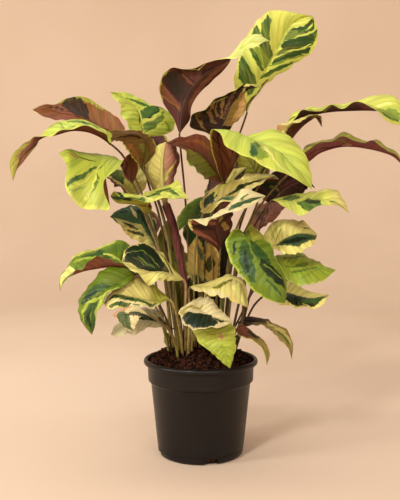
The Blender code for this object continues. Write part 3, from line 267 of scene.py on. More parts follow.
leaf("cream_striped", "cream_green", root=(-5, 8),
     rib=[(2, 237, 18), (13, 248, 20), (27, 257, 22), (42, 265, 24), (57, 271, 25), (78, 272, 26)],
     left=[(-1, 248, 12), (8, 261, 8), (21, 266, 7), (34, 271, 8), (46, 277, 10), (61, 276, 14),
           (71, 277, 20)],
     right=[(11, 240, 26), (21, 248, 31), (36, 252, 34), (49, 260, 34), (59, 267, 32), (69, 273, 29)],
     stalk=[(-7, 165, 10), (-5, 205, 13)])
leaf("small_striped", "cream_green", root=(0, -4),
     rib=[(21, 259, -8), (29, 268, -8), (37, 276, -8), (46, 284, -7)],
     left=[(25, 271, -12), (28, 280, -13), (38, 283, -11)],
     right=[(31, 267, -3), (38, 273, -2), (44, 280, -4)],
     stalk=[(6, 200, -8)])
leaf("boat_leaf", "purple_back", root=(13, 9),
     rib=[(19, 200, 26), (17, 213, 32), (15, 225, 38), (21, 238, 42), (37, 248, 44), (51, 253, 45),
          (65, 255, 46)],
     left=[(24, 212, 22), (31, 226, 25), (32, 242, 31), (36, 256, 38), (43, 262, 41), (52, 260, 43),
           (60, 257, 44)],
     right=[(4, 211, 36), (-9, 220, 40), (-13, 232, 40), (4, 227, 50), (13, 231, 54), (28, 238, 56),
            (40, 242, 55), (51, 246, 53), (59, 250, 50)],
     stalk=[(16, 160, 12), (17.5, 182, 19)])
leaf("green_drop", "green", root=(-11.5, -8),
     rib=[(5, 255, 3), (-2, 246, 8), (-11, 235, 13), (-22, 220, 15)],
     left=[(3, 244, 2), (-4, 235, 4), (-14, 227, 10)],
     right=[(-6, 252, 10), (-18, 242, 16), (-24, 231, 17)],
     stalk=[(-9, 180, -6), (1, 235, -8), (4.5, 252, -4)])
leaf("hanging_heart", "green", root=(34, 5),
     rib=[(44, 216, 38), (50, 208, 42), (55, 197, 46), (62, 183, 49), (71, 170, 51), (81, 157, 52),
          (84, 148, 52)],
     left=[(50, 226, 30), (59, 220, 31), (66, 210, 34), (73, 199, 38), (79, 187, 41), (84, 174, 44),
           (86, 162, 47), (85, 153, 50)],
     right=[(38, 222, 36), (30, 220, 36), (25, 209, 38), (27, 197, 42), (32, 185, 45), (42, 173, 48),
            (50, 163, 50), (61, 154, 52), (74, 149, 53)],
     stalk=[(38, 112, 8), (41, 127, 9), (42, 140, 9), (44, 170, 11), (43, 204, 18), (43, 216, 27),
            (43.5, 219, 33)])
leaf("right_cream_band", "cream_green", root=(30.5, -2),
     rib=[(69, 203, 8), (76, 208, 9), (86, 214, 10), (98, 218, 11), (116, 217, 12)],
     left=[(63, 211, 2), (65, 221, -2), (76, 230, -4), (91, 232, -4), (103, 229, 0), (111, 222, 8)],
     right=[(77, 201, 14), (83, 197, 19), (96, 198, 22), (108, 203, 22), (115, 211, 16)],
     stalk=[(40, 118, -6), (45, 140, -7), (56, 180, 0)])
leaf("right_plain_green", "green", root=(28, -8),
     rib=[(71, 189, 4), (82, 188, 6), (96, 185, 8), (113, 183, 9), (135, 181, 10)],
     left=[(76, 196, -3), (89, 198, -7), (101, 198, -7), (112, 192, -3), (124, 185, 5)],
     right=[(80, 178, 10), (89, 169, 15), (102, 166, 18), (117, 168, 18), (128, 175, 14)],
     stalk=[(40, 130, -14), (54, 168, -5)])
leaf("right_low_band", "cream_green", root=(28.5, -17),
     rib=[(71, 159, -6), (83, 159, -5), (96, 157, -4), (111, 154, -2), (128, 156, 0)],
     left=[(77, 166, -12), (89, 170, -15), (99, 166, -15), (109, 159, -11), (121, 157, -5)],
     right=[(76, 149, 0), (83, 145, 4), (96, 145, 7), (112, 142, 8), (122, 147, 5)],
     stalk=[(40, 120, -19), (55, 148, -12)])
leaf("inner_cream_left", "cream_green", root=(-1, 12),
     rib=[(-2, 158, 7), (-3, 176, 7), (-3.5, 196, 6.5), (-4, 215, 6)],
     left=[(2.5, 169, 6), (3, 188, 5), (2, 206, 5)],
     right=[(-11, 170, 5), (-14, 188, 4), (-11, 206, 4)])
leaf("inner_cream_right", "cream_green", root=(5, 9),
     rib=[(10, 160, 9), (11, 176, 9), (10.5, 194, 9), (8, 213, 9)],
     left=[(17, 170, 7), (19, 188, 6), (15, 205, 7)],
     right=[(4.5, 170, 11), (4, 188, 12), (5, 205, 11)])
leaf("yellow_wave", "cream_green", root=(-8.5, 21),
     rib=[(-11, 164, 21), (4, 164.5, 25), (19, 168, 28), (31, 172, 31), (40, 168, 35), (47, 143, 40)],
     left=[(2, 167, 17), (12, 171, 17), (23, 174, 19), (36, 175, 24), (43, 169, 32), (46, 159, 37)],
     right=[(-7, 161, 27), (3, 158, 32), (11, 155, 37), (16, 157, 40), (20, 152, 42), (27, 153, 44),
            (33, 149, 44), (41, 146, 43)],
     stalk=[(-9, 130, 21)], thick=(2.5, 1.4))
leaf("dark_cream_front", "cream_green", root=(-12, 27),
     rib=[(-6, 151, 32), (-2, 143, 36), (7, 137, 40), (18, 133, 43), (33, 129, 45)],
     left=[(-1, 154, 27), (7, 155, 27), (15, 147, 32), (23, 138, 38), (29, 133, 42)],
     right=[(-14, 147, 36), (-22, 139, 40), (-17, 128, 46), (-6, 121, 50), (8, 123, 52), (23, 125, 50)],
     stalk=[(-12, 118, 27), (-11, 138, 26), (-8.5, 149, 28.5)], thick=(2.9, 1.5))
leaf("front_chartreuse", "yellow_green", root=(8.5, 16),
     rib=[(11, 127, 34), (13, 120, 38), (17, 109, 41), (23, 97, 42), (29, 82.5, 41)],
     left=[(20, 130, 30), (29, 129, 32), (34, 120, 36), (35, 108, 38), (33, 95, 40)],
     right=[(3, 127, 34), (-8, 121, 36), (-5, 114, 38), (0, 106, 40), (8, 101, 42), (16, 93, 42)],
     stalk=[(10, 112, 17), (10, 127, 25), (10.5, 129, 30)])
leaf("right_drip_high", "purple_back", root=(34, -1),
     rib=[(40, 130, 0), (49, 129, 2), (60, 128, 4), (71, 121, 6), (81, 114, 8), (88, 105, 9),
          (91, 92, 10)],
     left=[(44, 134, -2), (54, 134, -5), (65, 132, -5), (79, 125, -3), (87, 119, 2), (92, 107, 6)],
     right=[(44, 125, 6), (54, 126, 10), (63, 125, 12), (72, 118, 14), (80, 111, 14), (87, 103, 13)],
     stalk=[(38.5, 119, -1), (38, 127, -1)], wave=(1, 2, 0))
leaf("right_drip_low", "purple_back", root=(29.5, 12),
     rib=[(35, 122, 16), (43, 121, 19), (51, 115, 22), (59, 109, 24), (65, 101, 25), (66, 86, 26)],
     left=[(40, 127, 12), (48, 122, 13), (56, 116, 16), (65, 107, 20), (69, 97, 23)],
     right=[(37, 116, 20), (42, 114, 25), (51, 110, 28), (60, 104, 29), (64, 95, 28)],
     stalk=[(33.5, 112, 13), (33.5, 119, 15)], wave=(1, 2, 0))
leaf("tiny_behind", "yellow_green", root=(-21, -11),
     rib=[(-31, 119, -9), (-32.5, 113, -9), (-34, 104, -9)],
     left=[(-35, 117, -7), (-37, 110, -8)],
     right=[(-28, 116, -12), (-30, 109, -11)],
     stalk=[(-25, 117, -10), (-27, 122, -9.5), (-30, 122.5, -9)],
     wave=(0.6, 2, 0), thick=(1.3, 1))
leaf("left_mid_arch", "green", root=(-31.5, 7),
     rib=[(-73, 183, 24), (-90, 185, 26), (-105, 183, 27), (-119, 180, 28), (-131, 175, 28),
          (-139, 170, 28), (-141, 160, 28)],
     left=[(-82, 188, 34), (-93, 193, 37), (-107, 192, 38), (-117, 186, 38), (-125, 179, 37),
           (-132, 173, 34), (-138, 168, 31)],
     right=[(-68, 197, 12), (-70, 205, 11), (-86, 210, 10), (-101, 205, 9), (-114, 200, 10),
            (-127, 194, 13), (-134, 185, 19), (-141, 173, 25)],
     stalk=[(-38, 125, 4), (-42, 145, 4), (-55, 172, 13)])
leaf("left_low_hang", "green", root=(-22.5, 23),
     rib=[(-64, 177, 32), (-77, 172, 38), (-90, 165, 42), (-101, 156, 44), (-108, 144, 45),
          (-110, 131, 45), (-109, 116, 44)],
     left=[(-71, 170, 41), (-81, 163, 45), (-93, 157, 48), (-99, 147, 49), (-104, 137, 48),
           (-106, 125, 46)],
     right=[(-73, 182, 32), (-89, 184, 31), (-104, 176, 34), (-116, 160, 38), (-123, 145, 40),
            (-121, 132, 42), (-115, 123, 43)],
     stalk=[(-34, 130, 22), (-46, 154, 20), (-57, 170, 23)])
leaf("left_dark_round", "cream_green", root=(-14, 17),
     rib=[(-17, 171, 26), (-27, 176, 30), (-38, 180, 34), (-51, 181, 38), (-65, 183, 41),
          (-79, 189, 42)],
     left=[(-25, 170, 32), (-34, 171, 38), (-44, 169, 43), (-53, 167, 46), (-62, 176, 47),
           (-71, 182, 46)],
     right=[(-29, 183, 22), (-36, 193, 22), (-44, 203, 23), (-55, 207, 26), (-67, 206, 30),
            (-76, 201, 35)],
     stalk=[(-15.5, 140, 20.5)], thick=(3, 1.6))
leaf("left_pale_stripe", "cream_green", root=(-17.5, 24),
     rib=[(-31, 151, 34), (-43, 150, 37), (-56, 152, 40), (-71, 155, 42), (-85, 156, 43),
          (-97, 148, 44)],
     left=[(-37, 149, 41), (-44, 146, 46), (-51, 141, 50), (-61, 145, 53), (-73, 143, 54),
           (-86, 142, 53), (-94, 143, 49)],
     right=[(-37, 158, 30), (-45, 164, 30), (-54, 170, 31), (-64, 174, 33), (-75, 171, 35),
            (-86, 162, 37), (-93, 156, 40)],
     stalk=[(-22, 125, 27)], thick=(2.6, 1.5))
leaf("left_curl", "cream_green", root=(-22, 29),
     rib=[(-52, 136, 58), (-62, 140, 60), (-71, 138, 62), (-75, 130, 63), (-70, 119, 64)],
     left=[(-60, 134, 64), (-64, 129, 66), (-66, 123, 66)],
     right=[(-66, 146, 58), (-79, 142, 60), (-87, 137, 60), (-82, 129, 62), (-76, 123, 63)],
     stalk=[(-30, 118, 36), (-40, 128, 50)])
leaf("left_pale_low", "cream_green", root=(-28, 12),
     rib=[(-30, 123, 16), (-41, 128, 18), (-53, 131, 20), (-66, 129, 22), (-79, 124, 24),
          (-90, 116, 25)],
     left=[(-39, 124, 22), (-51, 123, 27), (-61, 119, 30), (-73, 116, 31), (-84, 114, 29)],
     right=[(-37, 133, 12), (-46, 140, 9), (-55, 144, 8), (-65, 141, 10), (-77, 132, 15),
            (-87, 124, 21)],
     stalk=[(-31, 112, 14)])
leaf("left_dark_cream", "cream_green", root=(-24.5, -19),
     rib=[(-45, 204, -8), (-52, 215, -7), (-61, 224, -6), (-73, 230, -4), (-91, 234, 0)],
     left=[(-51, 205, -2), (-62, 208, 2), (-73, 216, 4), (-82, 226, 4), (-88, 232, 2)],
     right=[(-44, 215, -13), (-46, 229, -17), (-53, 239, -18), (-65, 245, -16), (-76, 244, -12),
            (-85, 240, -6)],
     stalk=[(-30.5, 150, -10), (-37, 182, -12.5)])
leaf("left_chartreuse_flap", "yellow_green", root=(-27, 2),
     rib=[(-68, 267, 2), (-76, 278, 2), (-80, 288, 4), (-90, 292, 8), (-105, 292, 11), (-121, 294, 12),
          (-133, 301, 12), (-142, 298, 12)],
     left=[(-63, 281, 3), (-65, 292, 7), (-71, 297, 13), (-83, 283, 26), (-97, 270, 32), (-97, 257, 33),
           (-91, 243, 32), (-106, 242, 31), (-124, 246, 30), (-134, 259, 28), (-136, 271, 25),
           (-134, 284, 19)],
     right=[(-76, 274, -8), (-84, 288, -12), (-98, 294, -12), (-115, 296, -8), (-129, 301, 2)],
     stalk=[(-40, 190, 3), (-56, 240, 2)])
leaf("left_back_green", "green", root=(-33, -15),
     rib=[(-67, 252, -34), (-74, 261, -34), (-81, 269, -34), (-89, 275, -33), (-97, 277, -32)],
     left=[(-74, 257, -28), (-84, 265, -26), (-93, 272, -28)],
     right=[(-55, 264, -40), (-55, 280, -43), (-64, 289, -43), (-79, 286, -41), (-92, 281, -36)],
     stalk=[(-42, 150, -22), (-56, 222, -30)])
leaf("back_high_left", "purple_back", root=(-12, -24),
     rib=[(-38, 262, -58), (-43, 280, -64), (-48, 300, -72), (-52, 317, -84), (-56, 325, -98)],
     left=[(-29, 280, -66), (-29, 298, -76), (-36, 316, -88)],
     right=[(-50, 268, -62), (-60, 285, -72), (-66, 304, -84), (-64, 318, -94)],
     stalk=[(-16, 160, -36), (-27, 220, -50)])
leaf("back_high_right", "purple_back", root=(10.5, -24),
     rib=[(34, 258, -56), (40, 272, -62), (46, 286, -72), (52, 298, -84), (56, 303, -98)],
     left=[(50, 262, -62), (62, 276, -72), (68, 290, -84), (64, 300, -94)],
     right=[(28, 268, -60), (27, 284, -70), (36, 299, -84)],
     stalk=[(16, 160, -36), (26, 220, -48)])
leaf("back_centre", "green", root=(0, -28),
     rib=[(12, 226, -52), (16, 244, -60), (20, 262, -72), (23, 278, -88), (25, 284, -102)],
     left=[(26, 238, -58), (35, 256, -70), (34, 274, -86)],
     right=[(5, 238, -58), (3, 252, -70), (9, 271, -88)],
     stalk=[(2, 150, -38), (6, 190, -46)])
leaf("back_mid_left", "green", root=(-19, -27),
     rib=[(-46, 214, -60), (-52, 224, -68), (-60, 230, -80), (-68, 231, -94), (-73, 225, -104)],
     left=[(-40, 228, -66), (-48, 240, -78), (-60, 243, -92), (-70, 236, -102)],
     right=[(-56, 212, -60), (-66, 216, -68), (-74, 220, -82), (-77, 221, -94)],
     stalk=[(-26, 140, -40), (-36, 184, -52)])
leaf("back_purple_right", "purple_back", root=(19, -26),
     rib=[(50, 221, -36), (60, 232, -38), (71, 242, -41), (81, 248, -45), (90, 251, -50)],
     left=[(50, 234, -44), (58, 246, -50), (70, 252, -54), (82, 253, -54)],
     right=[(61, 223, -32), (73, 231, -34), (83, 242, -40)],
     stalk=[(27, 140, -32), (38, 186, -36)])
leaf("back_low_centre", "green", root=(-5, -36),
     rib=[(-12, 180, -62), (-14, 192, -72), (-16, 198, -86), (-16, 194, -100), (-14, 184, -110)],
     left=[(0, 190, -64), (6, 202, -78), (4, 204, -94), (-4, 192, -106)],
     right=[(-26, 188, -64), (-34, 200, -78), (-36, 202, -94), (-26, 192, -106)],
     stalk=[(-8, 130, -44), (-10, 156, -52)])
leaf("back_low_left", "green", root=(-26, -29),
     rib=[(-50, 150, -52), (-62, 160, -60), (-74, 164, -70), (-84, 160, -82), (-90, 148, -92)],
     left=[(-50, 164, -60), (-60, 176, -70), (-76, 178, -82), (-88, 164, -92)],
     right=[(-64, 148, -50), (-80, 150, -56), (-92, 150, -68), (-94, 146, -82)],
     stalk=[(-34, 124, -38)])
leaf("back_low_right", "green", root=(26, -28),
     rib=[(54, 162, -50), (66, 170, -58), (80, 174, -68), (92, 170, -80), (98, 160, -90)],
     left=[(66, 157, -46), (82, 160, -52), (96, 162, -66), (100, 159, -80)],
     right=[(54, 176, -58), (64, 187, -68), (80, 189, -80), (94, 176, -90)],
     stalk=[(36, 128, -38)])
leaf("dark_behind_boat", "green", root=(-8, -18),
     rib=[(-6, 196, -26), (-4, 206, -28), (0, 218, -31), (4, 232, -36), (6, 242, -44)],
     left=[(4, 202, -28), (14, 214, -32), (16, 230, -40)],
     right=[(-12, 204, -26), (-18, 218, -30), (-10, 234, -40)],
     stalk=[(-10, 150, -28), (-9, 176, -28)])
leaf("inner_low_centre", "green", root=(-5, -12),
     rib=[(-6, 128, -10.5), (-7, 145, -11), (-8, 163, -11.5), (-9, 180, -11)],
     left=[(1, 140, -10), (2, 156, -10), (-3, 172, -10)],
     right=[(-14, 138, -10), (-17, 154, -10), (-14, 170, -10)])
leaf("inner_low_right", "green", root=(6, -14),
     rib=[(9, 128, -11.5), (12, 150, -13), (17, 180, -14), (22, 205, -15), (26, 225, -17)],
     left=[(17, 138, -12), (24, 160, -13.5), (30, 185, -15.5), (33, 210, -17)],
     right=[(4.5, 140, -11), (5, 165, -12), (9, 190, -13.5), (16, 213, -16)])
leaf("inner_low_left", "green", root=(-17.5, -13),
     rib=[(-20, 128, -12.5), (-23, 150, -14), (-27, 180, -16), (-30, 208, -19), (-33, 232, -23)],
     left=[(-15, 142, -12), (-13, 168, -13), (-16, 198, -16), (-24, 222, -20)],
     right=[(-26, 140, -13), (-35, 165, -15), (-42, 192, -18), (-42, 218, -21)])


def unit(v):
    return v / np.maximum(np.linalg.norm(v, axis=-1, keepdims=True), TINY)


def place(point):
    """A point of the drawing sheet, pushed towards the eye."""
    right, up, out = point
    on_sheet = np.array([right * GRID + SHEET_SHIFT, 0.0, 0.0]) + up * GRID * SHEET_UP
    ray = on_sheet - EYE
    return EYE + ray * ((EYE_DISTANCE - out * DEPTH_STEP) / ray[1])


def spline(points):
    """A smooth line through the points (centripetal Catmull-Rom), SPLINE_STEPS to a stretch."""
    points = np.asarray(points, float)
    ends = np.vstack([2 * points[0] - points[1], points, 2 * points[-1] - points[-2]])
    runs = []
    for i in range(1, len(ends) - 2):
        p0, p1, p2, p3 = ends[i - 1:i + 3]
        t0 = 0.0
        t1 = t0 + np.linalg.norm(p1 - p0) ** 0.5
        t2 = t1 + np.linalg.norm(p2 - p1) ** 0.5
        t3 = t2 + np.linalg.norm(p3 - p2) ** 0.5
        t = np.linspace(t1, t2, SPLINE_STEPS, endpoint=False)[:, None]
        a1 = (t1 - t) / (t1 - t0) * p0 + (t - t0) / (t1 - t0) * p1
        a2 = (t2 - t) / (t2 - t1) * p1 + (t - t1) / (t2 - t1) * p2
        a3 = (t3 - t) / (t3 - t2) * p2 + (t - t2) / (t3 - t2) * p3
        b1 = (t2 - t) / (t2 - t0) * a1 + (t - t0) / (t2 - t0) * a2
        b2 = (t3 - t) / (t3 - t1) * a2 + (t - t1) / (t3 - t1) * a3
        runs.append((t2 - t) / (t2 - t1) * b1 + (t - t1) / (t2 - t1) * b2)
    runs.append(points[-1:])
    return np.vstack(runs)


def lengths(line):
    return np.r_[0, np.cumsum(np.linalg.norm(np.diff(line, axis=0), axis=1))]


def evenly(line, count):
    """So many points of a line, evenly spaced along it."""
    along = lengths(line)
    where = np.linspace(0, along[-1], count)
    return np.stack([np.interp(where, along, line[:, k]) for k in range(3)], 1)


def spine(spec):
    """One smooth line from the foot of the stalk to the tip, and where the blade starts on it."""
    right, out = spec["root"]
    foot = [np.array([right * GRID, -out * GRID, z]) for z in (STALK_FOOT, STALK_TOP)]
    via = [place(p) for p in spec["stalk"]]
    line = spline(foot + via + [place(p) for p in spec["rib"]])
    return line, SPLINE_STEPS * (len(foot) + len(via))


def uneven(rng, share, reach, turns):
    """A smooth random line, a sum of waves that dies away at both ends of the blade."""
    total = np.zeros_like(share)
    for _ in range(UNEVEN_WAVES):
        total += np.sin(2 * np.pi * (rng.uniform(*turns) * share + rng.uniform(0, 1)))
    return reach * (total / UNEVEN_SHARE) * np.sin(np.pi * share)


def upper_face(spec):
    """The grid of the upper face, from the stalk to the tip, bowed between rib and margin."""
    line, start = spine(spec)
    own_seed = len(spec["name"]) + 31 * int(spec["root"][0] + 60)
    rng = np.random.default_rng(own_seed)
    rib = evenly(line[start:], BLADE_ROWS + 1)
    left, right = [evenly(spline([rib[0]] + [place(p) for p in spec[side]] + [rib[-1]]), BLADE_ROWS + 1)
                   for side in ("left", "right")]
    along = unit(np.gradient(rib, axis=0))
    height, ripples, phase = spec["wave"]
    s = np.linspace(0, 1, len(rib))
    opening = (1 - (unit(left - rib) * unit(right - rib)).sum(1, keepdims=True)) / 2
    nicks = [uneven(rng, s, MARGIN_NICK, NICK_TURNS) for _ in range(2)]
    curls = [uneven(rng, s, MARGIN_RIPPLE, RIPPLE_TURNS) for _ in range(2)]
    grid = np.zeros((len(rib), BLADE_ACROSS + 1, 3))
    for j, v in enumerate(np.linspace(-1, 1, BLADE_ACROSS + 1)):
        half = (left if v < 0 else right) - rib
        half = half + unit(half) * nicks[int(v > 0)][:, None]
        size = np.linalg.norm(half, axis=1)[:, None]
        normal = unit(np.cross(half, along) * (1 if v > 0 else -1))
        bow = spec["cup"] * 4 * abs(v) * (1 - abs(v)) * size
        if spec["cup"] > 0:
            bow = bow * opening
        turn = ripples * s + phase + (RIPPLE_LEAD if v > 0 else 0.0)
        ripple = (height * MILLIMETRE * np.sin(2 * np.pi * turn) * np.sin(np.pi * s))[:, None]
        curl = curls[int(v > 0)][:, None] * abs(v) ** 3
        turn = (SIDE_VEINS * s - VEIN_SLANT * abs(v) ** VEIN_CURVE) % 1
        vein = VEIN_DEPTH * (1 - 2 * abs(turn - 0.5)) ** 2 * np.sin(np.pi * abs(v) ** VEIN_SPREAD)
        relief = (ripple * v * v + curl + vein[:, None]) * np.minimum(size / FULL_RIPPLE_WIDTH, 1)
        grid[:, j] = rib + half * abs(v) + normal * (bow + relief)
    return grid, line[:start + 1]


def mean_slope(grid, axis):
    step = unit(np.diff(grid, axis=axis))
    first, last = np.take(step, [0], axis), np.take(step, [-1], axis)
    return np.concatenate([first, step], axis) + np.concatenate([step, last], axis)


def face_normals(grid):
    normals = unit(np.cross(mean_slope(grid, 1), mean_slope(grid, 0)))
    normals[0] = normals[1]
    normals[-1] = normals[-2]
    return normals


def leaf_object(spec):
    """One leaf: upper face, lower face and a stalk that runs on as the rib, each with its own slot."""
    grid, stalk = upper_face(spec)
    normals = face_normals(grid)
    thin = 1 - MARGIN_THINNING * np.linspace(-1, 1, BLADE_ACROSS + 1) ** 4
    under = grid - normals * thin[None, :, None] * BLADE_THICKNESS
    rows, cols = grid.shape[:2]
    below = rows * cols
    faces, slots, maps = [], [], []
    for i in range(rows - 1):
        for j in range(cols - 1):
            corners = [(i, j), (i, j + 1), (i + 1, j + 1), (i + 1, j)]
            ids = [row * cols + column for row, column in corners]
            spots = [(column / (cols - 1), row / (rows - 1)) for row, column in corners]
            faces += [tuple(ids), tuple(below + k for k in ids[::-1])]
            slots += [0, 1]
            maps += [spots, spots[::-1]]
        for j, order in ((0, 1), (cols - 1, -1)):
            low, high = (j / (cols - 1), i / (rows - 1)), (j / (cols - 1), (i + 1) / (rows - 1))
            a, d = i * cols + j, (i + 1) * cols + j
            faces.append((a, d, below + d, below + a)[::order])
            slots.append(1)
            maps.append([low, high, high, low][::order])
    rings, stalk_faces, stalk_maps = stalk_mesh(spec, stalk, grid, normals, 2 * below)
    points = np.concatenate([grid.reshape(-1, 3), under.reshape(-1, 3), rings])
    thing = new_object(spec["name"] + "_leaf", points, faces + stalk_faces, LEAF_SHARP)
    layer = thing.data.uv_layers.new(name="leaf_map")
    flat = [spot for spots in maps + stalk_maps for spot in spots]
    layer.data.foreach_set("uv", np.array(flat, dtype=np.float32).ravel())
    thing.data.polygons.foreach_set("material_index", slots + [2] * len(stalk_faces))
    return thing, grid


def stalk_mesh(spec, stalk, grid, normals, first):
    """A round stalk from the mix to the blade, that tapers on under the blade as its rib."""
    foot_radius, top_radius = np.array(spec["thick"]) * MILLIMETRE
    middle = BLADE_ACROSS // 2
    rib = grid[1:-1, middle]
    rib_share = np.linspace(RIB_START, 1, len(rib))
    rib_radii = top_radius * (1 - rib_share) ** RIB_TAPER * RIB_SIZE + RIB_TIP_RADIUS
    drop = normals[1:-1, middle] * (rib_radii * RIB_DROP + RIB_GAP)[:, None]
    centres = np.vstack([evenly(stalk, STALK_RINGS), rib - drop])
    radii = np.r_[np.linspace(foot_radius, top_radius, STALK_RINGS), rib_radii]
    share = np.r_[np.linspace(0, 1, STALK_RINGS), 1 + rib_share]
    along = unit(np.gradient(centres, axis=0))
    side = unit(grid[1, -1] - grid[1, 0])
    sides = []
    for k in range(len(centres) - 1, -1, -1):
        side = unit(side - along[k] * (side @ along[k]))
        sides.append(side)
    sides = np.array(sides[::-1])
    others = np.cross(along, sides)
    rings = []
    for angle in 2 * np.pi * np.arange(STALK_SIDES) / STALK_SIDES:
        rings.append(centres + (sides * np.cos(angle) + others * np.sin(angle)) * radii[:, None])
    faces, maps = [], []
    for i in range(len(centres) - 1):
        low, high = first + i * STALK_SIDES, first + (i + 1) * STALK_SIDES
        for k in range(STALK_SIDES):
            after = (k + 1) % STALK_SIDES
            faces.append((low + k, low + after, high + after, high + k))
            u, w = k / STALK_SIDES, (k + 1) / STALK_SIDES
            maps.append([(u, share[i]), (w, share[i]), (w, share[i + 1]), (u, share[i + 1])])
    faces.append(tuple(first + k for k in range(STALK_SIDES))[::-1])
    maps.append([(0, 0)] * STALK_SIDES)
    return np.stack(rings, 1).reshape(-1, 3), faces, maps


def new_object(name, points, faces, sharp_angle=None):
    """An object whose faces are flat, or smooth where they meet at less than so many degrees."""
    mesh = bpy.data.meshes.new(name)
    mesh.from_pydata([tuple(p) for p in points], [], [tuple(int(i) for i in f) for f in faces])
    if sharp_angle is not None:
        mesh.shade_smooth()
        mesh.set_sharp_from_angle(angle=np.radians(sharp_angle))
    thing = bpy.data.objects.new(name, mesh)
    bpy.context.scene.collection.objects.link(thing)
    return thing


class Paint:
    """The nodes of one surface: a ground colour with others laid over it, then roughness and bump."""

    def __init__(self, name, colour):
        self.material = bpy.data.materials.new(name)
        self.material.use_nodes = True
        self.nodes = self.material.node_tree.nodes
        self.links = self.material.node_tree.links
        self.shader = self.nodes["Principled BSDF"]
        self.spot = self.node("TexCoord").outputs["Object"]
        self.colour = colour

    def give(self, socket, value):
        """Links a socket to another node's output, or sets it to a number, a vector or a colour."""
        if isinstance(value, bpy.types.NodeSocket):
            self.links.new(value, socket)
        elif socket.type == "RGBA":
            socket.default_value = (*value, 1.0)
        else:
            socket.default_value = value

    def node(self, kind, *values, **settings):
        """A new node with some settings, and with values or links for its first inputs."""
        node = self.nodes.new("ShaderNode" + kind)
        for name, setting in settings.items():
            setattr(node, name, setting)
        for socket, value in zip(node.inputs, values):
            self.give(socket, value)
        return node

    def math(self, operation, *values):
        return self.node("Math", *values, operation=operation).outputs[0]

    def vector(self, operation, *values):
        node = self.node("VectorMath", *values, operation=operation)
        return node.outputs["Value" if operation in ("DOT_PRODUCT", "LENGTH") else "Vector"]

    def step(self, value, low, high, to_low=0.0, to_high=1.0):
        """A smooth step from to_low to to_high as the value goes from low to high."""
        node = self.node("MapRange", value, low, high, to_low, to_high, interpolation_type="SMOOTHSTEP")
        return node.outputs["Result"]

    def noise(self, scale, detail=2.0, shift=0.0, spot=None):
        node = self.node("TexNoise", spot or self.spot, shift, scale, detail, noise_dimensions="4D")
        return node.outputs["Fac"]

    def patches(self, scale, low, high, least=0.0, most=1.0, detail=2.0, shift=0.0):
        """Cloudy patches: least where the noise is under low, and most where it is over high."""
        return self.step(self.noise(scale, detail, shift), low, high, least, most)

    def lay(self, colour, mask):
        """Lays a colour over what is there, where the mask is 1."""
        node = self.node("Mix", data_type="RGBA")
        self.give(node.inputs["Factor"], mask)
        self.give(node.inputs["A"], self.colour)
        self.give(node.inputs["B"], colour)
        self.colour = node.outputs["Result"]

    def bump(self, height, distance, strength):
        node = self.node("Bump")
        self.give(node.inputs["Strength"], strength)
        self.give(node.inputs["Distance"], distance)
        self.give(node.inputs["Height"], height)
        self.give(self.shader.inputs["Normal"], node.outputs["Normal"])

    def bumps(self, scale, distance, strength, detail=2.0, shift=0.0):
        self.bump(self.noise(scale, detail, shift), distance, strength)

    def finish(self, roughness, gloss=0.5):
        self.give(self.shader.inputs["Base Color"], self.colour)
        self.give(self.shader.inputs["Roughness"], roughness)
        self.give(self.shader.inputs["Specular IOR Level"], gloss)
        return self.material


class LeafPaint(Paint):
    """The paint of a leaf, by its map.

    On a blade, u runs from the left margin at -1 over the rib at 0 to the right margin at 1, and v from
    the stalk at 0 to the tip at 1. On a stalk, v runs from its foot at 0 to the blade at 1, and on to 2
    at the end of the rib.
    """

    def __init__(self, name, colour):
        super().__init__(name, colour)
        split = self.node("SeparateXYZ", self.node("UVMap", uv_map="leaf_map").outputs["UV"])
        self.v = split.outputs["Y"]
        self.u = self.math("MULTIPLY_ADD", split.outputs["X"], 2.0, -1.0)


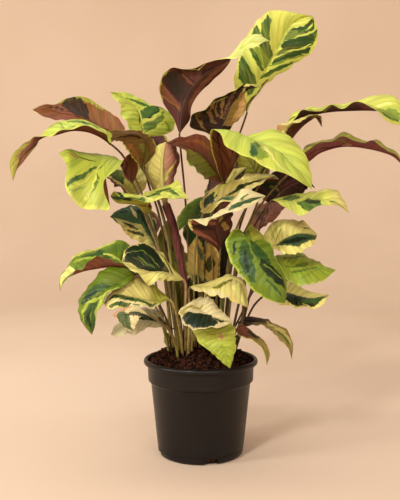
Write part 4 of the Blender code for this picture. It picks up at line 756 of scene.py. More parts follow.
class BladePaint(LeafPaint):
    """The paint of one face of a blade, with marks placed by squares of the drawing sheet."""

    def __init__(self, name, colour, fine):
        super().__init__(name, colour)
        self.fine = fine
        middle = fine.shape[1] // 2
        halves = np.linalg.norm(fine[:, (0, -1)] - fine[:, middle:middle + 1], axis=2)
        self.flat_size = (float(halves.mean()) * PRESSED_WIDTH, float(lengths(fine[:, middle])[-1]))
        self.side = self.math("ABSOLUTE", self.u)
        self.turn = self.math("MULTIPLY_ADD", self.math("POWER", self.side, VEIN_CURVE), -VEIN_SLANT,
                              self.math("MULTIPLY", self.v, float(SIDE_VEINS)))
        self.flat = self.pressed()
        self.fray = self.math("SUBTRACT", self.streaks(*FRAY_STREAKS), 0.5)
        self.grain = self.step(self.streaks(*GRAIN_STREAKS), 0.0, 1.0, LEAST_GRAIN, 1.0)

    def pressed(self):
        """The place on the blade as if pressed flat, moved about a little, for uneven outlines."""
        across = self.math("MULTIPLY", self.u, self.flat_size[0])
        along = self.math("MULTIPLY", self.v, self.flat_size[1])
        shift = self.node("TexNoise", self.spot, 0.0, MOVE_SCALE, 2.0).outputs["Color"]
        shift = self.vector("SUBTRACT", shift, (0.5, 0.5, 0.5))
        flat = self.node("CombineXYZ", across, along).outputs[0]
        return self.vector("MULTIPLY_ADD", shift, (MOVE_REACH, MOVE_REACH, 0.0), flat)

    def flat_spot(self, spot):
        """Where the pressed blade shows a square of the sheet."""
        return np.array([*np.multiply(on_leaf(self.fine, spot), self.flat_size), 0.0])

    def streaks(self, across, along, shift):
        """Noise from 0 to 1 that is drawn out along the side veins."""
        across, along = self.math("MULTIPLY", self.turn, across), self.math("MULTIPLY", self.side, along)
        spot = self.node("CombineXYZ", across, along, self.math("SIGN", self.u)).outputs[0]
        return self.step(self.noise(1.0, detail=3.0, shift=shift, spot=spot), low=0.3, high=0.7)

    def between(self, a, b):
        """The way from one pressed spot to here, and how much of the way to another spot it covers."""
        run = b - a
        away = self.vector("SUBTRACT", self.flat, tuple(a))
        return away, self.vector("DOT_PRODUCT", away, tuple(run / max(float(run @ run), TINY)))

    def lay_inside(self, colour, inside, fray):
        """Lays a colour where a distance is over 0, with a frayed outline."""
        inside = self.math("MULTIPLY_ADD", self.fray, fray, inside)
        self.lay(colour, self.math("MULTIPLY", self.step(inside, -SOFT_OUTLINE, SOFT_OUTLINE), self.grain))


def finer(grid):
    """The grid of a blade with more steps for each one, to look spots up in."""
    for axis in (0, 1):
        count = grid.shape[axis]
        where = np.linspace(0, count - 1, FINER * (count - 1) + 1)
        low = np.minimum(where.astype(int), count - 2)
        part = (where - low).reshape((-1, 1, 1) if axis == 0 else (1, -1, 1))
        grid = np.take(grid, low, axis) * (1 - part) + np.take(grid, low + 1, axis) * part
    return grid


def on_leaf(fine, spot):
    """The place (u, v) of a blade that covers a square of the drawing sheet, the nearest one to the eye."""
    aim = unit(place((*spot, 0)) - EYE)
    off = np.linalg.norm(unit(fine - EYE) - aim, axis=2)
    reach = np.where(off < off.min() + NEAR_ENOUGH, np.linalg.norm(fine - EYE, axis=2), np.inf)
    row, column = np.unravel_index(np.argmin(reach), reach.shape)
    return 2 * column / (fine.shape[1] - 1) - 1, row / (fine.shape[0] - 1)


def line(p, colour, *points):
    """A run of strokes through squares of the sheet, each point with its width, in squares too."""
    spots = [p.flat_spot(point[:2]) for point in points]
    widths = [point[2] for point in points]
    for a, b, wide, narrow in zip(spots, spots[1:], widths, widths[1:]):
        away, share = p.between(a, b)
        share = p.math("MINIMUM", p.math("MAXIMUM", share, 0.0), 1.0)
        reach = p.vector("LENGTH", p.vector("MULTIPLY_ADD", share, tuple(a - b), away))
        room = p.math("MULTIPLY_ADD", share, (narrow - wide) * GRID / 2, wide * GRID / 2)
        fray = min(STROKE_FRAY * (wide + narrow) / 2, MOST_FRAY) * GRID
        p.lay_inside(colour, p.math("SUBTRACT", room, reach), fray)


def area(p, colour, *spots):
    """A patch between three or more squares of the sheet, with rounded corners and none of them inwards."""
    corners = [p.flat_spot(spot) for spot in spots]
    middle = sum(corners) / len(corners)
    inside = None
    for a, b in zip(corners, corners[1:] + corners[:1]):
        inwards = unit(np.array([a[1] - b[1], b[0] - a[0], 0.0]))
        inwards = inwards * (1 if (middle - a) @ inwards > 0 else -1)
        away = p.math("SUBTRACT", p.vector("DOT_PRODUCT", p.flat, tuple(inwards)), float(a @ inwards))
        inside = away if inside is None else p.math("SMOOTH_MIN", inside, away, CORNER_ROUND)
    p.lay_inside(colour, p.math("ADD", inside, AREA_SPREAD), AREA_FRAY)


def wash(p, colour, start, end):
    """A soft change of colour from one square of the sheet to another, and on beyond it."""
    share = p.between(p.flat_spot(start), p.flat_spot(end))[1]
    p.lay(colour, p.step(p.math("MULTIPLY_ADD", p.fray, WASH_FRAY, share), 0.0, 1.0))


def bands(p, colour, count, slant, width, left, right):
    """Pointed bands along the side veins, from the rib to left and right shares of each half."""
    turn = p.math("MULTIPLY_ADD", p.side, -slant, p.math("MULTIPLY", p.v, count))
    turn = p.math("MULTIPLY_ADD", p.noise(BAND_SCALE, 2.0, count), BAND_SWAY, turn)
    away = p.math("ABSOLUTE", p.math("SUBTRACT", p.math("FRACT", turn), 0.5))
    reach = p.math("MULTIPLY_ADD", p.math("GREATER_THAN", p.u, 0.0), right - left, left)
    share = p.math("DIVIDE", p.side, reach)
    room = p.math("MULTIPLY", p.math("SUBTRACT", 1.0, p.math("MULTIPLY", share, share)), width / 2)
    inside = p.step(p.math("SUBTRACT", room, away), *BAND_OUTLINE)
    start = p.step(p.v, -BAND_END, BAND_END)
    end = p.step(p.v, 1 - BAND_END, 1 + BAND_END, 1.0, 0.0)
    p.lay(colour, p.math("MULTIPLY", inside, p.math("MULTIPLY", start, end)))


def edge(p, colour, width, side=0):
    """A band along the margins, or along only the left (-1) or right (1) one."""
    far = p.side if side == 0 else p.math("MULTIPLY", p.u, side)
    far = p.math("MULTIPLY_ADD", p.fray, min(width, EDGE_FRAY), far)
    p.lay(colour, p.step(far, 1 - width - EDGE_SOFT, 1 - width + EDGE_SOFT))


def rib(p, colour, width):
    """A line along the rib."""
    p.lay(colour, p.step(p.side, width * RIB_CORE, width, 1.0, 0.0))


def blade_face(name, fine, ground, marks, roughness, gloss):
    """One face of a blade: the ground colour, its marks, the side veins and a satin skin."""
    p = BladePaint(name, ground, fine)
    for mark, *values in marks:
        mark(p, *values)
    vein = p.math("ABSOLUTE", p.math("SUBTRACT", p.math("FRACT", p.turn), 0.5))
    small_vein = p.math("FRACT", p.math("MULTIPLY", p.turn, SMALL_VEINS))
    small_vein = p.math("ABSOLUTE", p.math("SUBTRACT", small_vein, 0.5))
    vein_shade = p.step(vein, low=0.42, high=0.5, to_low=1.0, to_high=VEIN_SHADE)
    small_vein_shade = p.step(small_vein, low=0.0, high=0.3, to_low=SMALL_VEIN_SHADE, to_high=1.0)
    streak_shade = p.step(p.streaks(*SHADE_STREAKS), 0.0, 1.0, *SHADES)
    shade = p.math("MULTIPLY", p.math("MULTIPLY", vein_shade, small_vein_shade), streak_shade)
    tint = p.node("HueSaturation")
    p.give(tint.inputs["Color"], p.colour)
    p.give(tint.inputs["Value"], shade)
    p.give(tint.inputs["Hue"], p.step(p.streaks(*HUE_STREAKS), 0.0, 1.0, *HUES))
    p.colour = tint.outputs["Color"]
    height = p.step(vein, low=0.5, high=0.40)
    height = p.math("MULTIPLY_ADD", p.step(small_vein, low=0.0, high=0.35), SMALL_VEIN_HEIGHT, height)
    height = p.math("ADD", height, p.step(p.side, low=0.0, high=0.08))
    p.bump(height, distance=0.0004, strength=0.7)
    skin = p.patches(scale=200.0, low=0.2, high=0.8, least=roughness - 0.05, most=roughness + 0.07)
    return p.finish(skin, gloss)


def stalk_face(name, foot, top, streak, blade):
    """A stalk: a colour at its foot, one at the blade, lengthwise streaks, and its rib like the blade."""
    p = LeafPaint(name, foot)
    p.lay(top, p.step(p.v, low=0.15, high=0.80))
    drawn_out = p.vector("MULTIPLY", p.spot, STREAK_SCALES)
    p.lay(streak, p.step(p.noise(1.0, shift=3.0, spot=drawn_out), low=0.50, high=0.62, to_high=0.85))
    stains = p.patches(scale=90.0, low=0.55, high=0.75, most=0.7, detail=3.0, shift=6.0)
    p.lay(darker(foot, STAIN_SHADE), stains)
    p.lay(darker(blade, RIB_SHADE), p.step(p.v, low=1.0, high=1.12))
    p.bumps(scale=300.0, distance=0.0003, strength=0.5, shift=5.0)
    return p.finish(roughness=0.42, gloss=0.25)


def darker(colour, share):
    return tuple(share * part for part in colour)


# The skins of the faces and stalks
SMALL_VEINS = 4.0
SMALL_VEIN_HEIGHT = 0.35
SMALL_VEIN_SHADE = 0.94
VEIN_SHADE = 0.86
UPPER_SKIN = dict(roughness=0.38, gloss=0.22)
LOWER_SKIN = dict(roughness=0.45, gloss=0.12)
STREAK_SCALES = (420.0, 420.0, 26.0)
STAIN_SHADE = 0.4
RIB_SHADE = 0.75

# Colours of the plant, with two of them brightened past its own colours as painted light
LIME = (0.460, 0.530, 0.076)
YELLOW = (0.560, 0.600, 0.100)
CROWN_YELLOW = (0.700, 0.780, 0.145)
PALE_YELLOW = (0.720, 0.700, 0.210)
CREAM = (0.620, 0.550, 0.165)
WHITE_CREAM = (0.640, 0.550, 0.270)
# Painted light: a cream brightened past the leaves' own cream, for the right-hand banded leaves that lie in
# shade
BAND_CREAM = (0.860, 0.800, 0.230)
FLAP_LIME = (0.370, 0.430, 0.050)
OLIVE_BROWN = (0.130, 0.068, 0.018)
# Painted sunlight: a copper brighter than the leaf's own, laid where a blade turns away from the lamps
PAINTED_SUNLIT_COPPER = (0.620, 0.385, 0.140)
PALE_LIME = (0.580, 0.620, 0.170)
GREY_CREAM = (0.52, 0.48, 0.26)
OLIVE_CREAM = (0.330, 0.255, 0.060)
YELLOW_OLIVE = (0.33, 0.32, 0.04)
OLIVE = (0.15, 0.145, 0.020)
DARK_OLIVE = (0.020, 0.014, 0.005)
LIME_GREEN = (0.360, 0.455, 0.048)
GRASS_GREEN = (0.290, 0.370, 0.028)
LEAF_GREEN = (0.210, 0.295, 0.030)
HEART_GREEN = (0.135, 0.205, 0.014)
OLIVE_GREEN = (0.120, 0.170, 0.010)
MID_GREEN = (0.100, 0.165, 0.022)
FOREST = (0.048, 0.118, 0.016)
SLATE_GREEN = (0.040, 0.090, 0.034)
DEEP_GREEN = (0.030, 0.075, 0.014)
BLACK_GREEN = (0.007, 0.017, 0.005)
COPPER = (0.235, 0.082, 0.021)
PLUM_COPPER = (0.250, 0.082, 0.044)
OLIVE_COPPER = (0.36, 0.24, 0.060)
BRONZE = (0.20, 0.105, 0.032)
PALE_COPPER = (0.38, 0.21, 0.06)
CORAL = (0.55, 0.24, 0.12)
RED_BROWN = (0.15, 0.045, 0.020)
PURPLE_BROWN = (0.085, 0.026, 0.017)
DARK_BROWN = (0.028, 0.011, 0.006)
PINK = (0.46, 0.22, 0.15)
PLUM = (0.190, 0.048, 0.044)

# By finish, for faces that the tables below leave out: upper ground, its marks, lower ground, its marks
FINISH_LOOKS = {
    "yellow_green": (
        LIME, [(bands, LEAF_GREEN, 4, 1.6, 0.6, 0.5, 0.9), (bands, DEEP_GREEN, 5, 2.4, 0.55, 0.8, 0.35),
               (edge, YELLOW, 0.08)],
        RED_BROWN, [(bands, PURPLE_BROWN, 4, 2.0, 0.5, 0.9, 0.4), (edge, YELLOW_OLIVE, 0.1)]),
    "green": (
        LEAF_GREEN, [(bands, DEEP_GREEN, 4, 2.0, 0.7, 0.8, 0.5), (bands, MID_GREEN, 6, 1.7, 0.5, 0.4, 0.85),
                     (edge, LIME, 0.08)],
        PURPLE_BROWN, [(bands, RED_BROWN, 4, 2.0, 0.5, 0.9, 0.4), (edge, OLIVE, 0.1)]),
    "cream_green": (
        CREAM, [(bands, BLACK_GREEN, 4, 2.0, 0.7, 0.3, 0.85), (bands, SLATE_GREEN, 5, 1.6, 0.5, 0.8, 0.3)],
        COPPER, [(bands, PURPLE_BROWN, 7, 2.0, 0.5, 0.4, 0.9), (edge, CREAM, 0.12)]),
    "purple_back": (
        LIME, [(bands, DEEP_GREEN, 4, 2.2, 0.6, 0.3, 0.85), (bands, MID_GREEN, 5, 1.6, 0.5, 0.85, 0.4),
               (edge, YELLOW, 0.08)],
        PURPLE_BROWN, [(bands, DARK_BROWN, 5, 2.0, 0.5, 0.5, 0.9), (edge, YELLOW_OLIVE, 0.1)]),
}

# The colours of a stalk's foot and top, and of the streaks along it
STALK_LOOKS = {
    "brown": ((0.130, 0.098, 0.030), (0.085, 0.040, 0.020), (0.035, 0.018, 0.010)),
    "olive": ((0.330, 0.300, 0.060), (0.170, 0.120, 0.040), (0.060, 0.038, 0.015)),
    "plum": ((0.140, 0.045, 0.032), (0.125, 0.026, 0.025), (0.045, 0.012, 0.011)),
    "pale": ((0.330, 0.290, 0.070), (0.320, 0.260, 0.080), (0.180, 0.070, 0.040)),
}
STALK_KINDS = {"half_unfurled": "plum", "dark_twist": "brown", "left_dark_round": "pale",
               "yellow_wave": "pale", "dark_cream_front": "pale", "left_pale_stripe": "pale",
               "left_curl": "olive"}

# The ground and the marks, in the order they are laid, of faces that the photo shows; places and widths are
# in squares of the drawing sheet
UPPER_LOOKS = {
    "far_left_arch": (LIME, [(line, LEAF_GREEN, (-151, 325, 2.5), (-141, 329, 2.5), (-125, 324, 2)),
        (line, MID_GREEN, (-131, 330, 3), (-117, 329, 3), (-103, 324, 1.5)),
        (line, DEEP_GREEN, (-119, 329, 1.5), (-105, 325, 1.5)), (edge, YELLOW, 0.1)]),
    "upright_stripes": (LIME, [
        (line, FOREST, (-74, 353, 1.4), (-67, 351, 5), (-58, 347, 7), (-54, 345, 2)),
        (line, FOREST, (-61, 329, 3), (-57, 337, 7), (-50, 340, 8.5), (-42, 345, 4.5)),
        (line, BLACK_GREEN, (-55, 333, 1), (-50, 334, 2), (-42, 344, 1.2)),
        (line, MID_GREEN, (-58, 319, 4), (-49, 326, 6.5), (-38, 338, 5)),
        (line, FOREST, (-57, 317, 1.6), (-50, 322, 2)),
        (line, YELLOW, (-59, 325, 1.4), (-49, 332, 1.8), (-40, 343, 1.8)),
        (line, YELLOW, (-52, 317, 2), (-41, 327, 2), (-34, 338, 2)),
        (line, LEAF_GREEN, (-35, 330, 1.5), (-32, 321, 2)),
        (line, LEAF_GREEN, (-31, 320, 2), (-23, 320, 2)),
        (line, LEAF_GREEN, (-71, 323, 1.5), (-64, 317, 2)), (rib, YELLOW, 0.04), (edge, YELLOW, 0.05)]),
    "dark_twist": (PALE_LIME, [(line, LIME, (39, 403, 3), (61, 410, 2)),
        (line, YELLOW, (31, 395, 3), (49, 405, 2))]),
    "top_right_crown": (CROWN_YELLOW, [
        (area, FOREST, (67, 436), (70, 431), (69, 411), (61, 416), (61, 426)),
        (area, FOREST, (55, 425), (61, 417), (51, 416)),
        (area, DEEP_GREEN, (59, 410), (68, 409), (72, 395), (69, 391), (61, 401)),
        (area, LEAF_GREEN, (53, 403), (61, 403), (69, 391), (65, 383), (57, 393)),
        (line, FOREST, (51, 401, 4), (55, 393, 4), (62, 381, 3)),
        (area, FOREST, (42, 395), (38, 385), (38, 373), (43, 366), (56, 368), (48, 385)),
        (area, FOREST, (46, 362), (55, 366), (52, 358), (47, 355)),
        (area, MID_GREEN, (88, 422), (103, 423), (105, 418), (91, 413), (81, 409)),
        (line, BLACK_GREEN, (89, 422, 2), (104, 424, 3), (111, 431, 4)),
        (line, DEEP_GREEN, (112, 433, 3), (112, 423, 3), (105, 420, 3)),
        (area, BLACK_GREEN, (80, 407), (91, 412), (103, 413), (105, 406), (95, 402), (82, 402)),
        (area, FOREST, (101, 414), (111, 417), (116, 422), (115, 413), (110, 405), (101, 403)),
        (area, MID_GREEN, (80, 401), (101, 401), (89, 398), (75, 396)),
        (area, DEEP_GREEN, (101, 401), (110, 403), (107, 398), (89, 393), (70, 386), (75, 393)),
        (line, LEAF_GREEN, (63, 384, 1.5), (81, 389, 3), (101, 395, 1.5)),
        (area, MID_GREEN, (59, 372), (64, 378), (75, 383), (93, 389), (80, 381), (67, 374)),
        (line, PALE_YELLOW, (51, 423, 3), (61, 434, 2)),
        (line, LIME, (57, 369, 1), (69, 389, 1.6), (81, 411, 1.6), (91, 424, 1)),
        (line, DEEP_GREEN, (98, 420, 2), (105, 424, 4), (112, 430, 3)),
        (line, DEEP_GREEN, (82, 405, 3), (91, 409, 6), (103, 410, 9), (111, 414, 6)),
        (line, DEEP_GREEN, (73, 390, 2), (85, 394, 4), (99, 399, 5), (108, 402, 3)),
        (line, FOREST, (61, 373, 2), (69, 379, 4), (83, 384, 4), (91, 388, 2)),
        (line, CROWN_YELLOW, (85, 399, 1), (99, 401.5, 1.2), (110, 407, 1)),
        (line, PURPLE_BROWN, (66, 370, 4), (55, 354, 8), (46, 335, 8))]),
    "centre_chartreuse": (LIME, [(area, FOREST, (49, 302), (54, 310), (59, 305), (58, 294), (51, 294)),
        (area, LEAF_GREEN, (58, 304), (67, 299), (67, 294), (57, 292)),
        (line, DEEP_GREEN, (52, 305, 2), (54, 297, 3)), (line, PALE_YELLOW, (61, 307, 1.4), (97, 271, 1)),
        (line, LEAF_GREEN, (79, 299, 1.4), (86, 293, 1)), (edge, YELLOW, 0.05)]),
    "right_high_arch": (YELLOW, [
        (area, LEAF_GREEN, (175, 342), (187, 343), (199, 338), (199, 332), (189, 333)),
        (line, FOREST, (183, 338, 2.5), (197, 331, 3)), (line, PALE_YELLOW, (161, 345, 3), (189, 348, 3)),
        (line, OLIVE, (85, 331, 5), (111, 341, 5)), (line, YELLOW_OLIVE, (111, 341, 3), (144, 345, 3))]),
    "right_low_arch": (YELLOW_OLIVE, [(line, OLIVE, (102, 306, 5), (129, 305, 3)),
        (line, LIME, (137, 309, 3), (151, 309, 3))]),
    "small_brown_arch": (CREAM, [(line, PALE_COPPER, (73, 320, 5), (83, 324, 4))]),
    "right_patch": (YELLOW, [(wash, CREAM, (121, 253), (137, 251)),
        (area, FOREST, (80, 252), (89, 256), (99, 254), (91, 251)),
        (area, FOREST, (96, 249), (107, 252), (118, 251), (121, 245), (112, 241), (101, 243)),
        (area, BLACK_GREEN, (96, 250), (109, 252), (117, 250), (119, 245), (109, 248)),
        (line, FOREST, (130, 250, 2), (146, 240, 1.2)),
        (line, PALE_YELLOW, (111, 256, 2), (131, 260, 2))]),
    "cream_striped": (OLIVE_CREAM, [(wash, CREAM, (31, 261), (55, 271)),
        (line, BAND_CREAM, (43, 273, 4), (55, 275, 5), (65, 275, 4)),
        (line, BLACK_GREEN, (0, 252, 3), (4, 258, 6), (7, 262, 3)),
        (line, BLACK_GREEN, (4, 245, 5), (7, 251, 10), (12, 256, 6)),
        (line, BLACK_GREEN, (26, 256, 3), (39, 264, 11), (51, 269, 10), (65, 273, 5), (76, 274, 2)),
        (line, SLATE_GREEN, (18, 251, 3), (25, 253, 5), (32, 254, 3)),
        (line, WHITE_CREAM, (40, 259, 1.4), (51, 263.5, 3), (64, 268, 2), (79, 273, 1)),
        (line, WHITE_CREAM, (13, 246, 1.4), (25, 250, 1.4)),
        (line, YELLOW_OLIVE, (13, 255, 1.4), (27, 268, 2)), (edge, CREAM, 0.07)]),
    "small_striped": (CREAM, [(line, BLACK_GREEN, (31, 268, 4), (37, 273, 8), (42, 278, 5), (46, 283, 2)),
        (line, YELLOW_OLIVE, (27, 267, 2), (35, 279, 2))]),
    "boat_leaf": (WHITE_CREAM, [(line, SLATE_GREEN, (30, 243, 4), (37, 247, 9), (45, 251, 5)),
        (line, SLATE_GREEN, (41, 248, 5), (51, 252, 12), (63, 255, 5)),
        (line, MID_GREEN, (35, 247, 2), (41, 253, 3), (46, 257, 2)),
        (line, DEEP_GREEN, (43, 248, 2), (53, 252, 4), (61, 254, 2))]),
    "green_drop": (MID_GREEN, [(wash, DEEP_GREEN, (-16, 246), (-1, 236)), (edge, LEAF_GREEN, 0.12)]),
    "hanging_heart": (HEART_GREEN, [(area, YELLOW_OLIVE, (45, 226), (57, 221), (63, 211), (51, 211)),
        (line, BLACK_GREEN, (35, 210, 1), (33, 203, 2), (32, 197, 1)),
        (line, DEEP_GREEN, (45, 208, 5), (45, 195, 10), (47, 183, 10), (51, 171, 4)),
        (line, BLACK_GREEN, (44, 201, 1.4), (45, 189, 3), (47, 179, 1.4)),
        (line, DEEP_GREEN, (50, 209, 4), (56, 201, 9), (63, 193, 8), (69, 189, 3)),
        (line, BLACK_GREEN, (61, 188, 5), (69, 181, 10), (78, 172, 11), (84, 164, 4)),
        (line, DEEP_GREEN, (66, 171, 2), (75, 163, 3.4), (81, 155, 1.6)),
        (line, LEAF_GREEN, (63, 187, 0.8), (81, 172, 1)), (edge, LIME_GREEN, 0.08)]),
    # Painted light: the bright cream ground makes up for the shade this leaf lies in
    "right_cream_band": (BAND_CREAM, [
        (line, SLATE_GREEN, (75, 206, 2.5), (85, 210, 10), (98, 213, 14), (108, 215, 10), (116, 215, 3)),
        (line, BLACK_GREEN, (83, 209, 3), (97, 212, 6), (107, 213, 2.6)),
        (line, DEEP_GREEN, (101, 224, 1.2), (108, 222, 1.4)), (line, YELLOW, (71, 213, 3), (77, 225, 3)),
        (line, YELLOW_OLIVE, (75, 210, 1), (80, 222, 1.2)), (edge, BAND_CREAM, 0.06)]),
    "right_plain_green": (GRASS_GREEN, [(line, MID_GREEN, (85, 185, 1.5), (105, 188, 3)),
        (line, MID_GREEN, (91, 179, 2), (115, 184, 2)), (line, LEAF_GREEN, (99, 172, 2), (121, 183, 2)),
        (line, MID_GREEN, (83, 193, 1.5), (103, 194, 2)), (edge, LIME_GREEN, 0.06)]),
    # Painted light: the bright cream ground makes up for the shade of the leaves above this one
    "right_low_band": (BAND_CREAM, [
        (line, BLACK_GREEN, (82, 159, 4), (93, 153, 11), (105, 150, 11), (119, 153, 7), (127, 156, 2)),
        (line, FOREST, (103, 150, 5), (113, 151, 6), (123, 154, 3)),
        (line, CREAM, (101, 147, 1), (112, 142, 2)), (edge, BAND_CREAM, 0.05)]),
    # Painted shadow: the olive stroke on yellow_wave's upper face stands for the shadow of the leaves above
    # it
    "yellow_wave": (CREAM, [(line, OLIVE, (11, 164, 2), (21, 167, 5), (30, 171, 3)),
        (line, WHITE_CREAM, (-11, 163, 3), (11, 159, 3), (27, 153, 2)),
        (line, PALE_YELLOW, (35, 165, 5), (45, 146, 3))]),
    "dark_cream_front": (WHITE_CREAM, [
        (line, BLACK_GREEN, (-19, 127, 5), (-11, 131, 12), (0, 132, 14), (9, 128, 9), (12, 122, 2)),
        (line, BLACK_GREEN, (11, 133, 3), (21, 130, 4), (25, 130, 1.5)),
        (line, OLIVE_CREAM, (-20, 138, 3), (-11, 145, 4), (1, 146, 2)), (edge, WHITE_CREAM, 0.05)]),
    "front_chartreuse": (LIME_GREEN, [(wash, LIME, (5, 99), (-3, 115)),
        (line, LIME, (-8, 118, 3), (11, 121, 3)), (line, YELLOW_OLIVE, (7, 116, 1), (15, 120, 1.4)),
        (line, CORAL, (18, 117, 1.6), (22, 114, 1.8)), (line, GRASS_GREEN, (21, 106, 3), (27, 93, 3)),
        (line, GRASS_GREEN, (4, 106, 1.5), (15, 95, 1.5)), (edge, YELLOW, 0.04)]),
    "right_drip_high": (OLIVE_CREAM, [(wash, DARK_BROWN, (61, 126), (53, 130)),
        (line, CREAM, (67, 128, 3), (83, 119, 3), (91, 106, 2)),
        (line, FOREST, (77, 119, 1.6), (88, 108, 2), (91, 94, 2))]),
    "right_drip_low": (OLIVE_CREAM, [(wash, RED_BROWN, (55, 106), (47, 115)),
        (area, BLACK_GREEN, (47, 120), (53, 119), (58, 112), (52, 115)),
        (line, DARK_BROWN, (56, 108, 2), (64, 97, 2)), (line, LEAF_GREEN, (64, 99, 3), (65, 87, 2)),
        (edge, PALE_YELLOW, 0.1)]),
    "left_mid_arch": (HEART_GREEN, [(line, DEEP_GREEN, (-117, 195, 2), (-104, 197, 4)),
        (line, DEEP_GREEN, (-103, 200, 4), (-93, 194, 4)),
        (line, MID_GREEN, (-93, 201, 5), (-75, 201, 8)), (line, YELLOW, (-97, 197, 1.4), (-80, 189, 1.6)),
        (line, YELLOW, (-129, 194, 5), (-109, 201, 5), (-88, 209, 3)),
        (line, LIME_GREEN, (-125, 190, 3), (-107, 194, 2)),
        (area, PALE_YELLOW, (-139, 187), (-129, 188), (-115, 186), (-125, 178), (-141, 161), (-144, 173)),
        (line, FOREST, (-125, 183, 1.8), (-118, 184, 1.4)),
        (line, OLIVE, (-133, 174, 1.2), (-127, 177, 1.2))]),
    "left_low_hang": (OLIVE_GREEN, [
        (line, DEEP_GREEN, (-82, 167, 2), (-97, 165, 4), (-109, 159, 6), (-118, 150, 5)),
        (line, BLACK_GREEN, (-105, 161, 2), (-115, 153, 2)),
        (line, LIME_GREEN, (-97, 157, 3), (-111, 150, 3), (-118, 138, 3), (-117, 129, 2)),
        (line, LIME_GREEN, (-82, 163, 3), (-96, 158, 3), (-102, 146, 4), (-105, 129, 3)),
        (area, DEEP_GREEN, (-103, 151), (-111, 147), (-117, 136), (-116, 127), (-109, 117), (-106, 131)),
        (line, BLACK_GREEN, (-105, 148, 1.5), (-113, 133, 3), (-110, 121, 2)),
        (line, LEAF_GREEN, (-108, 145, 1), (-111, 129, 1)),
        (line, HEART_GREEN, (-122, 149, 3), (-121, 137, 3))]),
    "left_dark_round": (CREAM, [(line, PALE_YELLOW, (-68, 179, 6), (-51, 174, 9), (-35, 175, 5)),
        (line, BLACK_GREEN, (-75, 192, 9), (-67, 196, 15), (-53, 194, 18), (-43, 188, 12), (-33, 180, 4)),
        (line, BLACK_GREEN, (-71, 202, 4), (-59, 204, 5), (-49, 201, 6), (-39, 187, 5)),
        (line, WHITE_CREAM, (-78, 189, 0.5), (-77, 195, 0.7), (-70, 199, 0.3)),
        (line, LEAF_GREEN, (-70, 200, 0.3), (-58, 200, 0.4), (-48, 192, 0.4), (-41, 184, 0.3)),
        (line, MID_GREEN, (-63, 194, 0.6), (-54, 188, 1.2), (-46, 183, 1)),
        (line, OLIVE_CREAM, (-67, 193, 0.2), (-56, 186, 0.4)),
        (line, CREAM, (-49, 205, 2), (-39, 195, 2.6), (-30, 180, 2.4)),
        (line, DEEP_GREEN, (-42, 204, 1.4), (-35, 191, 2), (-28, 177, 1.2))]),
    "left_pale_stripe": (CREAM, [(wash, YELLOW_OLIVE, (-55, 161), (-45, 157)),
        (line, DEEP_GREEN, (-98, 149, 4), (-88, 155, 7), (-71, 153, 6), (-55, 149, 4), (-46, 146, 5)),
        (line, DEEP_GREEN, (-91, 145, 3), (-83, 148, 5), (-63, 146, 3)),
        (line, WHITE_CREAM, (-98, 146, 2), (-89, 150, 2), (-75, 150.5, 1.4), (-59, 147, 1.4)),
        (line, BLACK_GREEN, (-89, 154, 1.6), (-67, 152, 1.6)),
        (line, WHITE_CREAM, (-69, 143, 2), (-53, 142, 2.4), (-43, 147, 2))]),
    "left_curl": (WHITE_CREAM, [(area, SLATE_GREEN, (-97, 143), (-89, 144), (-87, 135), (-94, 135)),
        (line, CORAL, (-88, 141, 3), (-81, 143, 5), (-72, 144, 3)),
        (area, DEEP_GREEN, (-83, 131), (-78, 140), (-72, 136), (-69, 119), (-78, 123)),
        (line, SLATE_GREEN, (-76, 138, 1), (-72, 125, 1.4)),
        (line, BLACK_GREEN, (-69, 138, 5), (-57, 135, 6), (-45, 131, 4))]),
    "left_pale_low": (GREY_CREAM, [
        (line, BLACK_GREEN, (-70, 138, 3), (-61, 137, 6), (-49, 132, 5), (-41, 129, 2)),
        (line, OLIVE_CREAM, (-63, 140, 1.2), (-39, 131, 1.4)),
        (line, DARK_OLIVE, (-41, 133, 4), (-33, 126, 4))]),
    "left_dark_cream": (SLATE_GREEN, [
        (line, CREAM, (-85, 233, 8), (-75, 226, 17), (-62, 218, 20), (-50, 209, 18)),
        (line, BLACK_GREEN, (-78, 229, 1.6), (-71, 226, 4), (-63, 222, 1.6)),
        (line, BLACK_GREEN, (-73, 221, 1.6), (-58, 216, 3.6)),
        (line, WHITE_CREAM, (-70, 244, 1.6), (-67, 238, 3), (-64, 234, 1.4)),
        (line, BLACK_GREEN, (-84, 238, 2), (-75, 240, 3)),
        (line, BLACK_GREEN, (-63, 241, 3), (-55, 229, 4), (-49, 217, 2)),
        (line, MID_GREEN, (-57, 239, 1.4), (-51, 227, 2)),
        (line, CREAM, (-47, 241, 2), (-43, 230, 2.4))]),
    "left_chartreuse_flap": (FLAP_LIME, [
        (line, LIME_GREEN, (-96, 286, 0.5), (-111, 269, 0.9), (-125, 253, 1)),
        (line, LIME_GREEN, (-95, 283, 0.5), (-103, 265, 0.8), (-111, 245, 1)),
        (line, LIME_GREEN, (-94, 281, 0.5), (-97, 263, 0.8), (-97, 244, 1)),
        (line, DEEP_GREEN, (-134, 266, 1.5), (-125, 273, 2.4), (-111, 282, 1.8), (-94, 290, 0.6)),
        (line, DEEP_GREEN, (-103, 278, 1), (-103, 273, 1.6)),
        (line, FOREST, (-105, 270, 1.4), (-109, 262, 1.6), (-113, 255, 0.8)),
        (line, LEAF_GREEN, (-131, 262, 1), (-117, 265, 1)),
        (line, YELLOW, (-123, 267, 1), (-101, 286, 1)), (line, YELLOW, (-115, 251, 1), (-104, 281, 1)),
        (line, PALE_COPPER, (-123, 293, 2), (-135, 299, 2)),
        (line, DARK_OLIVE, (-137, 302, 1.4), (-121, 294, 1.2), (-105, 290, 0.8)), (edge, YELLOW, 0.05)]),
    "left_back_green": (CREAM, [(area, FOREST, (-95, 279), (-78, 280), (-78, 268), (-88, 273)),
